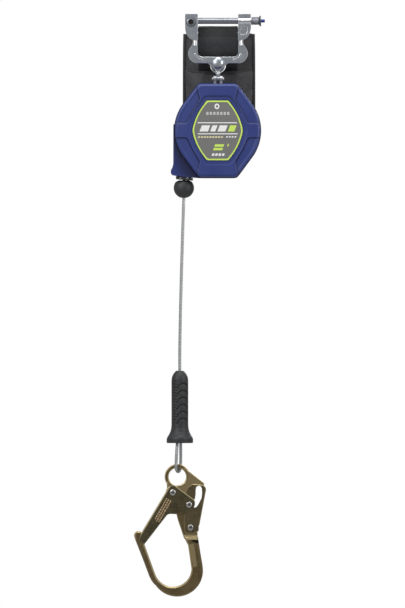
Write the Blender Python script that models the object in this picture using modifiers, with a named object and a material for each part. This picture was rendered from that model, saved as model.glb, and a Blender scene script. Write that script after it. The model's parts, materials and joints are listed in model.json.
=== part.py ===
"""Self retracting lifeline: harness connector, swivel, housing, cable, grip and rebar hook.

Sizes below are in millimetres; MM turns them into Blender's metres. The origin is the centre
of the connector pin, +X points to the pin's knob, -Y is the front and +Z is up.
"""
import math

import bmesh
import bpy
from mathutils import Matrix, Vector

MM = 0.001
GAP = 0.3

# ---- connector -------------------------------------------------------------------------
LUG_INNER, LUG_OUTER = 36.0, 59.0
LUG_TOP, LUG_FRONT, LUG_BACK = 12.5, -12.0, 21.0
BAIL_HALF_DEPTH = 7.0
PIN_RADIUS = 5.5
PIN_LEFT = -55.5
KNOB_START, KNOB_END, FLANGE_END, BUTTON_END = 59.6, 73.5, 77.2, 84.0
CROSS_BAR_Y, CROSS_BAR_Z, CROSS_BAR_RADIUS = 14.0, -16.0, 4.0
BOSS_Z, BOSS_RADIUS, BOSS_CUT_Z = -74.5, 12.0, -76.3
RING_Z, RING_OUTER, RING_INNER = -79.7, 14.5, 11.7

# ---- swivel and clevis -----------------------------------------------------------------
CLEVIS_Z = -104.7
CLEVIS_PIN_RADIUS = 3.0
EAR_INNER, EAR_OUTER, EAR_RADIUS = 3.0, 8.0, 7.5

# ---- energy absorber -------------------------------------------------------------------
STRAP_HALF_WIDTH, STRAP_THICKNESS = 35.5, 2.4
POUCH_LEFT, POUCH_RIGHT, POUCH_FRONT, POUCH_BACK = -57.8, 61.8, 45.5, 68.0
POUCH_BOTTOM, POUCH_MOUTH, POUCH_TOP = -225.0, -88.0, -21.0
POUCH_WALL = 2.5
BINDING_RADIUS, BINDING_Y, BINDING_BOTTOM = 1.9, 66.0, -205.0

# ---- housing ---------------------------------------------------------------------------
HOUSING_X, HOUSING_Z = -0.7, -196.4
HALF_HEIGHT, TOP_HALF_WIDTH = 83.6, 34.0
SIDE_RADIUS, SIDE_CENTRE, SIDE_ANGLE = 79.0, 2.5, 38.3
FRONT_FACE, PARTING, REAR_FACE = -38.0, -4.0, 36.0
WALL = 3.0
REAR_STEP = 1.5
FRONT_ROUND, REAR_ROUND = 7.0, 14.0
PANEL_DEPTH = 2.5
LABEL_HALF_WIDTH, LABEL_HALF_HEIGHT, LABEL_TOP_HALF = 45.5, 53.7, 19.5
LABEL_DEPTH = 1.0
SCREW_PLACES = ((-36.5, 70.5), (36.5, 70.5), (36.5, -70.5), (-33.5, -72.5))

# ---- drum and brake --------------------------------------------------------------------
CABLE_RADIUS = 2.8
LINE_X = -61.0
DRUM_X, DRUM_Z = 0.0, -196.0
FLANGE_RADIUS = 67.0
SHAFT_RADIUS = 5.9
PAWL_PIVOT_RADIUS = 38.0
RATCHET_OUTER, RATCHET_TIP, RATCHET_TEETH = 66.5, 58.6, 14

# ---- nozzle and line -------------------------------------------------------------------
GUIDE_TOP, GUIDE_BOTTOM = -264.0, -284.8
ROLLER_RADIUS = 3.2
ROLLER_Z = -281.2
BALL_Z, BALL_RADIUS, BALL_TOP = -298.9, 18.3, -286.4
BALL_BOTTOM = -316.6
FERRULE_TOP, FERRULE_BOTTOM = -291.9, -309.1
RUN_TOP = -224.5
CABLE_ROUTE = (
    (-61.0, 0.0, -309.4), (-61.4, 0.0, -325.0), (-63.4, 0.0, -385.0), (-65.3, 0.0, -449.0),
    (-67.0, 0.0, -514.0), (-68.2, 0.0, -578.0), (-68.4, 0.0, -620.0), (-68.2, 0.0, -659.7),
)
GRIP_X = -68.2
GRIP_TOP, GRIP_BOTTOM, GRIP_RADIUS, FLARE_RADIUS = -626.0, -755.4, 15.0, 23.7
SWAGE_TOP, SWAGE_BOTTOM, SWAGE_RADIUS = -660.0, -699.4, 6.8
EYE_X, EYE_BEND_Z, EYE_BEND_RADIUS, EYE_TURN = -71.0, -796.3, 10.5, 67.0
THIMBLE_THICKNESS = 1.2

# ---- hook, measured from the centre of its eye -------------------------------------------
HOOK_X, HOOK_Z = -72.7, -815.7
HOOK_EYE_OUTER, HOOK_EYE_INNER, HOOK_EYE_HALF = 22.7, 15.6, 3.8
PLATE_HALF, BOW_HALF = 5.0, 7.0
LEVER_INNER, LEVER_OUTER = 5.4, 6.9
GATE_INNER, GATE_OUTER = 7.3, 8.9
GATE_PIVOT, TAIL_RIVET, LEVER_PIVOT = (-8.2, -28.1), (21.1, -49.9), (23.6, -90.8)
RIVET_RADIUS, RIVET_HEAD = 3.0, 5.4
LEVER_GAP_RADIUS = 40.0

COLOURS = {
    "aluminium": ((0.55, 0.57, 0.59), 0.35, 0.9),
    "steel": ((0.60, 0.61, 0.62), 0.3, 1.0),
    "bronze": ((0.60, 0.50, 0.33), 0.3, 1.0),
    "olive": ((0.10, 0.09, 0.05), 0.4, 0.7),
    "blue": ((0.045, 0.075, 0.27), 0.45, 0.0),
    "black": ((0.02, 0.02, 0.022), 0.5, 0.0),
    "fabric": ((0.03, 0.03, 0.032), 0.9, 0.0),
    "label": ((0.20, 0.20, 0.19), 0.5, 0.0),
    "brass": ((0.60, 0.42, 0.16), 0.35, 1.0),
}


def clear_scene():
    for obj in list(bpy.data.objects):
        bpy.data.objects.remove(obj, do_unlink=True)


def new_collection(name):
    group = bpy.data.collections.new(name)
    bpy.context.scene.collection.children.link(group)
    return group


clear_scene()
PARTS = new_collection("self_retracting_lifeline")
CUTTERS = new_collection("cutters")
AXES = new_collection("joint_axes")


# ---- modelling helpers -------------------------------------------------------------------
def make_material(name, kind):
    colour, roughness, metallic = COLOURS[kind]
    material = bpy.data.materials.new(name)
    material.use_nodes = True
    shader = material.node_tree.nodes["Principled BSDF"]
    shader.inputs["Base Color"].default_value = (*colour, 1.0)
    shader.inputs["Roughness"].default_value = roughness
    shader.inputs["Metallic"].default_value = metallic
    return material


def add_mesh_object(name, bm, matrix=None):
    mesh = bpy.data.meshes.new(name)
    bm.to_mesh(mesh)
    bm.free()
    obj = bpy.data.objects.new(name, mesh)
    PARTS.objects.link(obj)
    if matrix is not None:
        mesh.transform(matrix)
    return obj


def finish(obj, kind, smooth=True):
    """Gives a part its own material and shades its round sides."""
    obj.data.materials.clear()
    obj.data.materials.append(make_material(obj.name, kind))
    if smooth:
        obj.data.shade_smooth()
        obj.data.set_sharp_from_angle(angle=math.radians(32))
    return obj


def axis_frame(origin, axis):
    """A matrix whose local Z lies along axis, at origin (mm)."""
    turn = Vector(axis).to_track_quat("Z", "Y").to_matrix().to_4x4()
    return Matrix.Translation(Vector(origin) * MM) @ turn


def box(name, low, high):
    low, high = Vector(low), Vector(high)
    bm = bmesh.new()
    bmesh.ops.create_cube(bm, size=1.0)
    size = (high - low) * MM
    bmesh.ops.scale(bm, vec=size, verts=bm.verts)
    bmesh.ops.translate(bm, vec=(low + high) / 2 * MM, verts=bm.verts)
    return add_mesh_object(name, bm)


def cylinder(name, start, end, radius, sides=24, end_radius=None):
    start, end = Vector(start), Vector(end)
    bm = bmesh.new()
    far = radius if end_radius is None else end_radius
    length = (end - start).length * MM
    bmesh.ops.create_cone(
        bm, cap_ends=True, segments=sides, radius1=radius * MM, radius2=far * MM, depth=length
    )
    return add_mesh_object(name, bm, axis_frame((start + end) / 2, end - start))


def sphere(name, centre, radius, sides=24):
    bm = bmesh.new()
    bmesh.ops.create_uvsphere(bm, u_segments=sides, v_segments=sides // 2, radius=radius * MM)
    bmesh.ops.translate(bm, vec=Vector(centre) * MM, verts=bm.verts)
    return add_mesh_object(name, bm)


def turned(name, profile, origin, axis=(0, 0, 1), steps=32, closed=False):
    """Turns a profile of (radius, height) points round axis. The profile runs down its outer side."""
    points = [Vector((radius, 0, height)) * MM for radius, height in profile]
    bm = bmesh.new()
    verts = [bm.verts.new(point) for point in points]
    for first, second in zip(verts, verts[1:]):
        bm.edges.new((first, second))
    if closed:
        bm.edges.new((verts[-1], verts[0]))
    obj = add_mesh_object(name, bm)
    obj.matrix_world = axis_frame(origin, axis)
    screw = obj.modifiers.new("turn", "SCREW")
    screw.steps = steps
    screw.render_steps = steps
    screw.use_merge_vertices = True
    screw.merge_threshold = 0.00001
    return obj


def settle(obj):
    """Replaces a curve or a mesh with modifiers by the plain mesh that it makes."""
    bpy.context.view_layer.update()
    evaluated = obj.evaluated_get(bpy.context.evaluated_depsgraph_get())
    mesh = bpy.data.meshes.new_from_object(evaluated)
    bm = bmesh.new()
    bm.from_mesh(mesh)
    bmesh.ops.remove_doubles(bm, verts=bm.verts, dist=0.000002)
    bmesh.ops.dissolve_limit(bm, angle_limit=0.002, verts=bm.verts, edges=bm.edges)
    bm.to_mesh(mesh)
    bm.free()
    solid = bpy.data.objects.new(obj.name + "_solid", mesh)
    solid.matrix_world = obj.matrix_world.copy()
    PARTS.objects.link(solid)
    name = obj.name
    bpy.data.objects.remove(obj, do_unlink=True)
    solid.name = name
    return solid


def add_spline(curve, outline):
    spline = curve.splines.new("POLY")
    spline.points.add(len(outline) - 1)
    for point, (across, up) in zip(spline.points, outline):
        point.co = (across * MM, up * MM, 0.0, 1.0)
    spline.use_cyclic_u = True


def plate(name, outlines, near, far, rounding=0.0, segments=1, facing="front"):
    """Extrudes a flat outline. A front outline is (X, Z) and runs from Y near to far;
    a side outline is (Y, Z) and runs from X near to far."""
    curve = bpy.data.curves.new(name, "CURVE")
    curve.dimensions = "2D"
    curve.fill_mode = "BOTH"
    for outline in outlines:
        add_spline(curve, outline)
    curve.extrude = (far - near) / 2 * MM
    obj = bpy.data.objects.new(name, curve)
    PARTS.objects.link(obj)
    middle = (near + far) / 2 * MM
    if facing == "front":
        obj.matrix_world = Matrix.Translation((0, middle, 0)) @ Matrix.Rotation(math.pi / 2, 4, "X")
    else:
        turn = Matrix.Rotation(math.pi / 2, 4, "Z") @ Matrix.Rotation(math.pi / 2, 4, "X")
        obj.matrix_world = Matrix.Translation((middle, 0, 0)) @ turn
    solid = settle(obj)
    if rounding:
        soften(solid, rounding, segments)
    return solid


def tube(name, points, radius, resolution=2):
    """A round wire or cable along points, with closed ends."""
    curve = bpy.data.curves.new(name, "CURVE")
    curve.dimensions = "3D"
    curve.bevel_depth = radius * MM
    curve.bevel_resolution = resolution
    curve.use_fill_caps = True
    spline = curve.splines.new("POLY")
    spline.points.add(len(points) - 1)
    for point, place in zip(spline.points, points):
        point.co = (*(Vector(place) * MM), 1.0)
    obj = bpy.data.objects.new(name, curve)
    PARTS.objects.link(obj)
    return settle(obj)


def set_aside(obj):
    for group in list(obj.users_collection):
        group.objects.unlink(obj)
    CUTTERS.objects.link(obj)
    obj.hide_render = True
    obj.display_type = "WIRE"


def boolean(obj, other, operation):
    set_aside(other)
    modifier = obj.modifiers.new(other.name, "BOOLEAN")
    modifier.operation = operation
    modifier.solver = "EXACT"
    modifier.object = other
    return obj


def join(obj, *others):
    for other in others:
        boolean(obj, other, "UNION")
    return obj


def cut(obj, *others):
    for other in others:
        boolean(obj, other, "DIFFERENCE")
    return obj


def soften(obj, width, segments=1, angle=40):
    bevel = obj.modifiers.new("edges", "BEVEL")
    bevel.width = width * MM
    bevel.segments = segments
    bevel.limit_method = "ANGLE"
    bevel.angle_limit = math.radians(angle)
    return obj


def arc(centre, radius, start, end, count):
    """Points on an arc, with angles in degrees from +X towards +Z."""
    points = []
    for step in range(count + 1):
        angle = math.radians(start + (end - start) * step / count)
        points.append((centre[0] + radius * math.cos(angle), centre[1] + radius * math.sin(angle)))
    return points


def circle(centre, radius, sides=24):
    return arc(centre, radius, 0, 360 - 360 / sides, sides - 1)


def mirrored(half):
    """Closes a right-hand half outline, listed top to bottom, with its mirror image."""
    return list(half) + [(-x, z) for x, z in reversed(half)]


def smooth_route(points, step):
    """Points about step apart on a Catmull-Rom curve through the given ones."""
    points = [Vector(point) for point in points]
    ends = [2 * points[0] - points[1]] + points + [2 * points[-1] - points[-2]]
    route = []
    for a, b, c, d in zip(ends, ends[1:], ends[2:], ends[3:]):
        count = max(1, round((c - b).length / step))
        for index in range(count):
            t = index / count
            route.append(
                0.5 * (2 * b + (c - a) * t + (2 * a - 5 * b + 4 * c - d) * t ** 2
                       + (3 * b - a - 3 * c + d) * t ** 3)
            )
    return route + [points[-1]]


def pivot(name, place, parts):
    """An empty on a joint's axis that carries the parts of one moving body."""
    empty = bpy.data.objects.new(name, None)
    AXES.objects.link(empty)
    empty.location = Vector(place) * MM
    bpy.context.view_layer.update()
    for part in parts:
        placed = part.matrix_world.copy()
        part.parent = empty
        part.matrix_world = placed
    return empty


# ---- connector ---------------------------------------------------------------------------
def lug_outline(side):
    half = [(LUG_INNER, LUG_TOP), (LUG_OUTER, LUG_TOP), (LUG_OUTER, -14.0), (57.0, -22.0),
            (53.5, -28.5), (49.0, -32.5), (42.0, -35.0), (LUG_INNER, -35.0)]
    return [(side * x, z) for x, z in half]


def bail_outline():
    outer = [(45.0, -20.0), (45.0, -40.0), (47.5, -45.0), (51.5, -51.0), (53.5, -57.0),
             (53.0, -63.0), (50.0, -69.0), (45.0, -73.5), (38.5, -76.0), (16.0, -76.0)]
    inner = [(-36.5, -20.0), (-36.5, -55.3)]
    inner += arc((-27.5, -55.3), 9.0, 180, 270, 4)[1:]
    inner += arc((27.5, -55.3), 9.0, 270, 360, 4)
    inner += [(36.5, -20.0)]
    return outer + [(-x, z) for x, z in reversed(outer)] + inner


def build_connector():
    frame = plate("connector_frame", [bail_outline()], -BAIL_HALF_DEPTH, BAIL_HALF_DEPTH, 1.6, 1)
    for side in (-1, 1):
        join(frame, plate(f"lug{side}", [lug_outline(side)], LUG_FRONT, LUG_BACK, 1.6, 1))
    boss = sphere("boss", (0, 0, BOSS_Z), BOSS_RADIUS, 16)
    cut(boss, box("boss_cut", (-15, -15, -95), (15, 15, BOSS_CUT_Z)))
    ring = turned("eye_ring", [(RING_OUTER, 5), (RING_OUTER, -5), (RING_INNER, -5), (RING_INNER, 5)],
                  (0, 0, RING_Z), (0, 1, 0), 24, True)
    collar = cylinder("eye_collar", (0, 0, -95.2), (0, 0, -90.4), 4.4, 12)
    band = cylinder("pin_band", (LUG_INNER + 0.5, -9, -0.8), (LUG_OUTER + 0.4, -9, -0.8), 5.8, 16)
    join(frame, boss, ring, collar, band)
    cut(frame, turned("boss_clear", [(0, BOSS_CUT_Z), (11.4, BOSS_CUT_Z), (11.4, -83), (0, -83)],
                      (0, 0, 0), (0, 0, 1), 16))
    cut(frame, cylinder("swivel_bore", (0, 0, -97), (0, 0, -85), 2.8, 16))
    cut(frame, cylinder("pin_bore", (-56.0, 0, 0), (70, 0, 0), PIN_RADIUS + 0.4, 24))
    cut(frame, cylinder("bar_bore", (-50, CROSS_BAR_Y, CROSS_BAR_Z), (50, CROSS_BAR_Y, CROSS_BAR_Z),
                        CROSS_BAR_RADIUS + GAP, 16))
    cut(frame, cylinder("insert_bore", (-48.3, -20, -2.3), (-48.3, -8.6, -2.3), 8.3, 24))
    pocket = [(42.5, -10.0), (51.5, -10.0), (53.0, -17.0), (50.5, -24.0), (39.5, -24.5), (39.0, -19.0)]
    cut(frame, plate("lug_pocket", [pocket], -16.0, LUG_FRONT + 1.2))
    finish(frame, "aluminium")

    insert = turned("lug_insert", [(0, 0), (8.0, 0), (8.0, -5.6), (7.2, -6.4), (6.2, -6.4),
                                   (5.4, -1.6), (0, -1.2)], (-48.3, -8.9, -2.3), (0, 1, 0), 24)
    bar = cylinder("absorber_bar", (-49.6, CROSS_BAR_Y, CROSS_BAR_Z), (49.6, CROSS_BAR_Y, CROSS_BAR_Z),
                   CROSS_BAR_RADIUS, 24)
    return [frame, finish(insert, "steel"), finish(bar, "steel")]


def build_pin():
    """The quick-release pin, its knurled knob and the spring-loaded button along its axis."""
    axis = (1, 0, 0)
    pin = turned("connector_pin", [
        (0, 36.0), (2.1, 36.0), (2.1, 64.0), (PIN_RADIUS, 64.0), (PIN_RADIUS, PIN_LEFT + 2),
        (PIN_RADIUS - 1.5, PIN_LEFT), (0, PIN_LEFT)], (0, 0, 0), axis, 28)
    knob = turned("pin_knob", [
        (10.0, FLANGE_END), (10.0, KNOB_END), (7.0, KNOB_END - 0.8),
        (7.0, KNOB_START), (5.8, KNOB_START), (5.8, 64.3), (4.3, 64.3),
        (4.3, 74.2), (3.2, 74.2), (3.2, FLANGE_END)], (0, 0, 0), axis, 24, True)
    button = turned("lock_button", [
        (0, BUTTON_END), (2.2, BUTTON_END), (2.8, BUTTON_END - 0.8), (2.8, 73.8), (3.9, 73.8),
        (3.9, 71.0), (1.7, 71.0), (1.7, 41.0), (0, 41.0)], (0, 0, 0), axis, 16)
    turns, wire, radius = 2.0, 0.4, 2.9
    coil = []
    for index in range(int(turns * 12) + 1):
        angle = 2 * math.pi * index / 12
        coil.append((65.0 + 2.0 * index / (turns * 12), radius * math.cos(angle), radius * math.sin(angle)))
    spring = tube("button_spring", coil, wire, 1)
    parts = [finish(pin, "steel"), finish(knob, "aluminium"), finish(spring, "steel")]
    pivot("pin_axis", (0, 0, 0), parts)
    pivot("button_axis", (BUTTON_END, 0, 0), [finish(button, "steel")])


# ---- swivel ------------------------------------------------------------------------------
def build_swivel():
    stud = turned("swivel_stud", [
        (0, -77.0), (10.4, -77.0), (10.6, -77.8), (4.2, -86.8), (4.2, -89.3), (2.5, -89.6),
        (2.5, -99.0), (0, -99.0)], (0, 0, 0), (0, 0, 1), 20)
    neck = box("tongue_neck", (-2.6, -5.0, -104.0), (2.6, 5.0, -96.6))
    eye = cylinder("tongue_eye", (-2.6, 0, CLEVIS_Z), (2.6, 0, CLEVIS_Z), 6.8, 20)
    join(stud, neck, eye)
    cut(stud, cylinder("tongue_bore", (-5, 0, CLEVIS_Z), (5, 0, CLEVIS_Z), CLEVIS_PIN_RADIUS + GAP, 20))
    pivot("swivel_axis", (0, 0, RING_Z), [finish(stud, "steel")])


# ---- energy absorber -----------------------------------------------------------------------
def build_absorber():
    outer_radius = CROSS_BAR_RADIUS + GAP + STRAP_THICKNESS
    inner_radius = CROSS_BAR_RADIUS + GAP
    centre = (CROSS_BAR_Y, CROSS_BAR_Z)
    outer = arc(centre, outer_radius, 200, 0, 10) + [
        (22.5, -36.0), (32.0, -60.0), (54.0, -80.0), (57.5, -104.0), (57.5, -118.0),
        (52.5, -118.0), (52.0, -92.0), (44.0, -82.0), (26.0, -70.0), (14.0, -52.0)]
    inner = arc(centre, inner_radius, 180, 0, 8) + [(19.5, -30.0), (17.5, -40.0), (14.5, -38.0)]
    strap = plate("absorber_strap", [outer, inner], -STRAP_HALF_WIDTH, STRAP_HALF_WIDTH, facing="side")

    left, right = POUCH_LEFT, POUCH_RIGHT
    pocket = plate("absorber_pouch", [
        [(left, POUCH_BOTTOM + 12), (left + 4, POUCH_BOTTOM + 3), (left + 12, POUCH_BOTTOM),
         (right - 12, POUCH_BOTTOM), (right - 4, POUCH_BOTTOM + 3), (right, POUCH_BOTTOM + 12),
         (right, POUCH_MOUTH + 1.5), ((left + right) / 2, POUCH_MOUTH), (left, POUCH_MOUTH + 1.5)]],
        POUCH_FRONT, POUCH_BACK, 4.0, 1)
    back = box("pouch_back", (left + 0.8, POUCH_BACK - 3.7, -210.0), (right - 0.8, POUCH_BACK - 0.3, POUCH_TOP))
    soften(back, 1.0)
    join(pocket, back)
    cut(pocket, box("pouch_hollow", (left + 3.5, POUCH_FRONT + POUCH_WALL, POUCH_BOTTOM + 4),
                    (right - 3.5, POUCH_BACK - 4.2, POUCH_TOP + 5)))
    pack = box("absorber_pack", (-45, 49.5, -212), (45, 62.0, -119))
    soften(pack, 3.0, 2)
    parts = [finish(strap, "fabric"), finish(pocket, "fabric"), finish(pack, "fabric")]
    room = BINDING_RADIUS + GAP
    for x, name in ((left - room, "left_binding"), (right + room, "right_binding")):
        edge = [(x, BINDING_Y, POUCH_TOP - 3.0), (x, BINDING_Y, BINDING_BOTTOM)]
        parts.append(finish(tube(name, edge, BINDING_RADIUS), "fabric"))
    pivot("absorber_axis", (0, CROSS_BAR_Y, CROSS_BAR_Z), parts)


# ---- housing -------------------------------------------------------------------------------
def barrel_half(grow=0.0):
    """The right half of the housing's outline, top to bottom, round the housing's centre."""
    top = [(TOP_HALF_WIDTH + 0.6 * grow, HALF_HEIGHT + grow)]
    side = arc((-SIDE_CENTRE, 0), SIDE_RADIUS + grow, SIDE_ANGLE, -SIDE_ANGLE, 12)
    return top + side + [(x, -z) for x, z in top]


def barrel(grow=0.0):
    return [(HOUSING_X + x, HOUSING_Z + z) for x, z in mirrored(barrel_half(grow))]


def quadrant_panel(side, level):
    shape = [(70.5, 12.0), (54.5, 12.0), (44.0, 35.0), (31.5, 56.0), (35.5, 72.0), (39.0, 92.0),
             (100.0, 92.0), (100.0, 12.0)]
    return [(HOUSING_X + side * x, HOUSING_Z + level * z) for x, z in shape]


def label_outline(shrink=0.0):
    half = [(LABEL_TOP_HALF - shrink * 0.6, LABEL_HALF_HEIGHT - shrink)]
    for x, z in ((30.5, 38.5), (38.5, 24.0), (43.5, 9.5), (LABEL_HALF_WIDTH, 0), (43.5, -9.5),
                 (38.5, -24.0), (30.5, -38.5)):
        half.append((x - shrink, z))
    half.append((LABEL_TOP_HALF - shrink * 0.6, -LABEL_HALF_HEIGHT + shrink))
    return [(HOUSING_X + x, HOUSING_Z + z) for x, z in mirrored(half)]


def build_front_cover():
    cover = plate("front_cover", [barrel()], FRONT_FACE, 12.0, FRONT_ROUND, 2)
    cut(cover, box("front_trim", (-100, PARTING, -300), (100, 40, -90)))
    cut(cover, plate("front_hollow", [barrel(-WALL)], FRONT_FACE + 6.0, 10.0))
    for index, (x, z) in enumerate(SCREW_PLACES):
        place = (HOUSING_X + x, HOUSING_Z + z)
        join(cover, cylinder(f"front_post{index}", (place[0], -34, place[1]),
                             (place[0], PARTING, place[1]), 4.6, 12))
        cut(cover, cylinder(f"front_post_bore{index}", (place[0], -24, place[1]),
                            (place[0], 5, place[1]), 1.9, 12))
    for side in (-1, 1):
        for level in (-1, 1):
            cut(cover, plate(f"panel{side}{level}", [quadrant_panel(side, level)],
                             FRONT_FACE - 10, FRONT_FACE + PANEL_DEPTH))
    cut(cover, plate("label_recess", [label_outline(-0.6)], FRONT_FACE - 5, FRONT_FACE + LABEL_DEPTH))
    cut(cover, box("front_slot", (-8.8, -8.5, -120), (8.8, 5, -105)))
    finish(cover, "blue")
    label = plate("front_label", [label_outline()], FRONT_FACE + 0.1, FRONT_FACE + LABEL_DEPTH - GAP)
    return [cover, finish(label, "label")]


def lobe_outline():
    """The nozzle lobe at the rear body's lower left."""
    return [(-79.8, -185.0), (-80.0, -200.0), (-80.0, -256.0), (-81.5, -262.0), (-84.3, -267.5),
            (-84.7, -271.5), (-83.2, -274.8), (-80.4, -276.4), (-60.0, -279.2), (-34.0, -281.4),
            (-20.0, -281.4), (-20.0, -185.0)]


def lobe_pocket():
    return [(-76.8, -236.0), (-71.5, -236.0), (-60.5, -254.5), (-44.0, -275.0), (-76.8, -273.5)]


def build_rear_cover():
    cover = plate("rear_cover", [barrel(REAR_STEP)], -40.0, REAR_FACE, REAR_ROUND, 3)
    lobe = plate("lobe", [lobe_outline()], -18.0, 20.5, 2.5, 1)
    join(cover, lobe)
    cut(cover, plate("front_room", [barrel(1.2)], -60.0, PARTING + GAP))
    cut(cover, box("rear_trim_right", (-30, -60, -300), (100, PARTING + GAP, -90)))
    cut(cover, box("rear_trim_top", (-100, -60, -185), (100, PARTING + GAP, -90)))
    cut(cover, box("rear_trim_front", (-100, -60, -300), (100, -18.5, -90)))
    cut(cover, plate("rear_hollow", [barrel(REAR_STEP - WALL)], -44.0 + WALL, REAR_FACE - WALL,
                     REAR_ROUND - WALL, 2))
    cut(cover, plate("lobe_hollow", [lobe_pocket()], -15.0, 16.0))
    cut(cover, cylinder("cable_way", (LINE_X, 0, -275), (LINE_X, 0, -215), CABLE_RADIUS + 1.2, 16))
    for index, (x, z) in enumerate(SCREW_PLACES):
        place = (HOUSING_X + x, HOUSING_Z + z)
        join(cover, cylinder(f"rear_post{index}", (place[0], PARTING + GAP, place[1]),
                             (place[0], 28.0, place[1]), 5.0, 12))
        cut(cover, cylinder(f"rear_post_bore{index}", (place[0], -10, place[1]),
                            (place[0], 40, place[1]), 2.2, 12))
        cut(cover, cylinder(f"screw_seat{index}", (place[0], 25.0, place[1]),
                            (place[0], 40, place[1]), 4.2, 16))
    cut(cover, box("rear_slot", (-8.8, -5, -120), (8.8, 8.5, -105)))
    cut(cover, box("guide_seat", (-74.3, -14.3, -290), (-46.7, 14.3, GUIDE_TOP + GAP)))
    return finish(cover, "blue")


def build_screws():
    screws = []
    for index, (x, z) in enumerate(SCREW_PLACES):
        place = (HOUSING_X + x, 0, HOUSING_Z + z)
        screw = turned(f"cover_screw_{index + 1}", [
            (0, 27.2), (1.6, 27.2), (1.9, 28.6), (3.4, 28.6), (3.8, 27.4), (3.8, 25.3), (1.6, 25.3),
            (1.6, -22.0), (0, -23.0)], place, (0, 1, 0), 12)
        screws.append(finish(screw, "steel"))
    return screws


def build_load_frame():
    """The steel bracket that carries the drum's shaft and hangs on the clevis pin."""
    frame = box("load_frame", (-24, -7.0, -122), (24, 29.0, -119))
    for side in (-1, 1):
        near, far = sorted((side * EAR_INNER, side * EAR_OUTER))
        join(frame, box(f"ear{side}", (near, -EAR_RADIUS + 0.5, -120.5), (far, EAR_RADIUS - 0.5, CLEVIS_Z)))
        join(frame, cylinder(f"ear_top{side}", (near, 0, CLEVIS_Z), (far, 0, CLEVIS_Z), EAR_RADIUS, 16))
    back = [(-24, -120.5), (24, -120.5), (28, -150), (28, -200)]
    back += arc((0, DRUM_Z), 32, -20, -160, 8) + [(-28, -200), (-28, -150)]
    join(frame, plate("back_plate", [back], 26.0, 29.0))
    cut(frame, cylinder("ear_bore", (-12, 0, CLEVIS_Z), (12, 0, CLEVIS_Z), CLEVIS_PIN_RADIUS + GAP, 20))
    cut(frame, cylinder("shaft_bore", (DRUM_X, 20, DRUM_Z), (DRUM_X, 40, DRUM_Z), SHAFT_RADIUS + GAP, 24))
    return finish(frame, "steel")


def build_clevis_pin():
    pin = turned("clevis_pin", [
        (0, 10.6), (3.0, 10.6), (3.0, -8.3), (4.6, -8.3), (4.6, -10.4), (3.6, -11.2), (0, -11.2)],
        (0, 0, CLEVIS_Z), (1, 0, 0), 20)
    cap = turned("clevis_pin_cap", [
        (3.3, 11.2), (3.9, 11.2), (4.6, 10.4), (4.6, 8.3), (3.3, 8.3)], (0, 0, CLEVIS_Z), (1, 0, 0), 20, True)
    return [finish(pin, "steel"), finish(cap, "steel")]


# ---- drum, spring and brake ------------------------------------------------------------------
def build_drum():
    centre, axis = (DRUM_X, 0, DRUM_Z), (0, 1, 0)
    drum = turned("cable_drum", [
        (FLANGE_RADIUS, 12.3), (FLANGE_RADIUS, 10.4), (45.0, 10.4), (45.0, -10.4), (FLANGE_RADIUS, -10.4),
        (FLANGE_RADIUS, -13.0), (7.9, -13.0), (7.9, 12.3)], centre, axis, 40, True)
    for index, angle in enumerate((90, 270)):
        x, z = arc((DRUM_X, DRUM_Z), PAWL_PIVOT_RADIUS, angle, angle, 1)[0]
        cut(drum, cylinder(f"pawl_hole{index}", (x, -20, z), (x, -9.0, z), 2.8, 16))
    winding = turned("cable_winding", [
        (63.5, 10.1), (63.9, 9.0), (63.9, -9.0), (63.5, -10.1), (45.3, -10.1), (45.3, 10.1)],
        centre, axis, 32, True)
    bushing = turned("drum_bushing", [(7.6, 12.0), (7.6, -12.7), (6.2, -12.7), (6.2, 12.0)],
                     centre, axis, 24, True)
    case = turned("spring_case", [
        (55.5, 23.0), (55.5, 12.6), (7.0, 12.6), (7.0, 14.2), (53.5, 14.2), (53.5, 23.0)],
        centre, axis, 32, True)
    lid = turned("spring_cover", [(55.5, 24.8), (55.5, 23.3), (7.0, 23.3), (7.0, 24.8)], centre, axis, 32, True)
    parts = [finish(drum, "aluminium"), finish(winding, "steel"), finish(bushing, "brass"),
             finish(case, "steel"), finish(lid, "steel")]
    for index, name in enumerate(("pawl_pin_upper", "pawl_pin_lower")):
        x, z = arc((DRUM_X, DRUM_Z), PAWL_PIVOT_RADIUS, 90 + 180 * index, 90, 1)[0]
        pin = turned(name, [(0, -9.4), (2.5, -9.4), (2.5, -19.8), (4.0, -19.8), (4.0, -21.0), (0, -21.0)],
                     (x, 0, z), axis, 16)
        parts.append(finish(pin, "steel"))
    pivot("drum_axis", centre, parts)


def build_power_spring():
    """A flat steel spiral between the fixed shaft and the drum's spring case."""
    turns, inner, outer, per_turn = 5, 9.0, 50.5, 14
    bm = bmesh.new()
    rails = ([], [])
    for index in range(turns * per_turn + 1):
        share = index / (turns * per_turn)
        angle = 2 * math.pi * turns * share
        radius = (inner + (outer - inner) * share) * MM
        x, z = radius * math.cos(angle), radius * math.sin(angle)
        rails[0].append(bm.verts.new((x + DRUM_X * MM, 15.0 * MM, z + DRUM_Z * MM)))
        rails[1].append(bm.verts.new((x + DRUM_X * MM, 22.2 * MM, z + DRUM_Z * MM)))
    near, far = rails
    for index in range(len(near) - 1):
        bm.faces.new((near[index], near[index + 1], far[index + 1], far[index]))
    spring = add_mesh_object("power_spring", bm)
    solidify = spring.modifiers.new("thickness", "SOLIDIFY")
    solidify.thickness = 0.9 * MM
    solidify.offset = 0
    return finish(spring, "steel")


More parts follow.
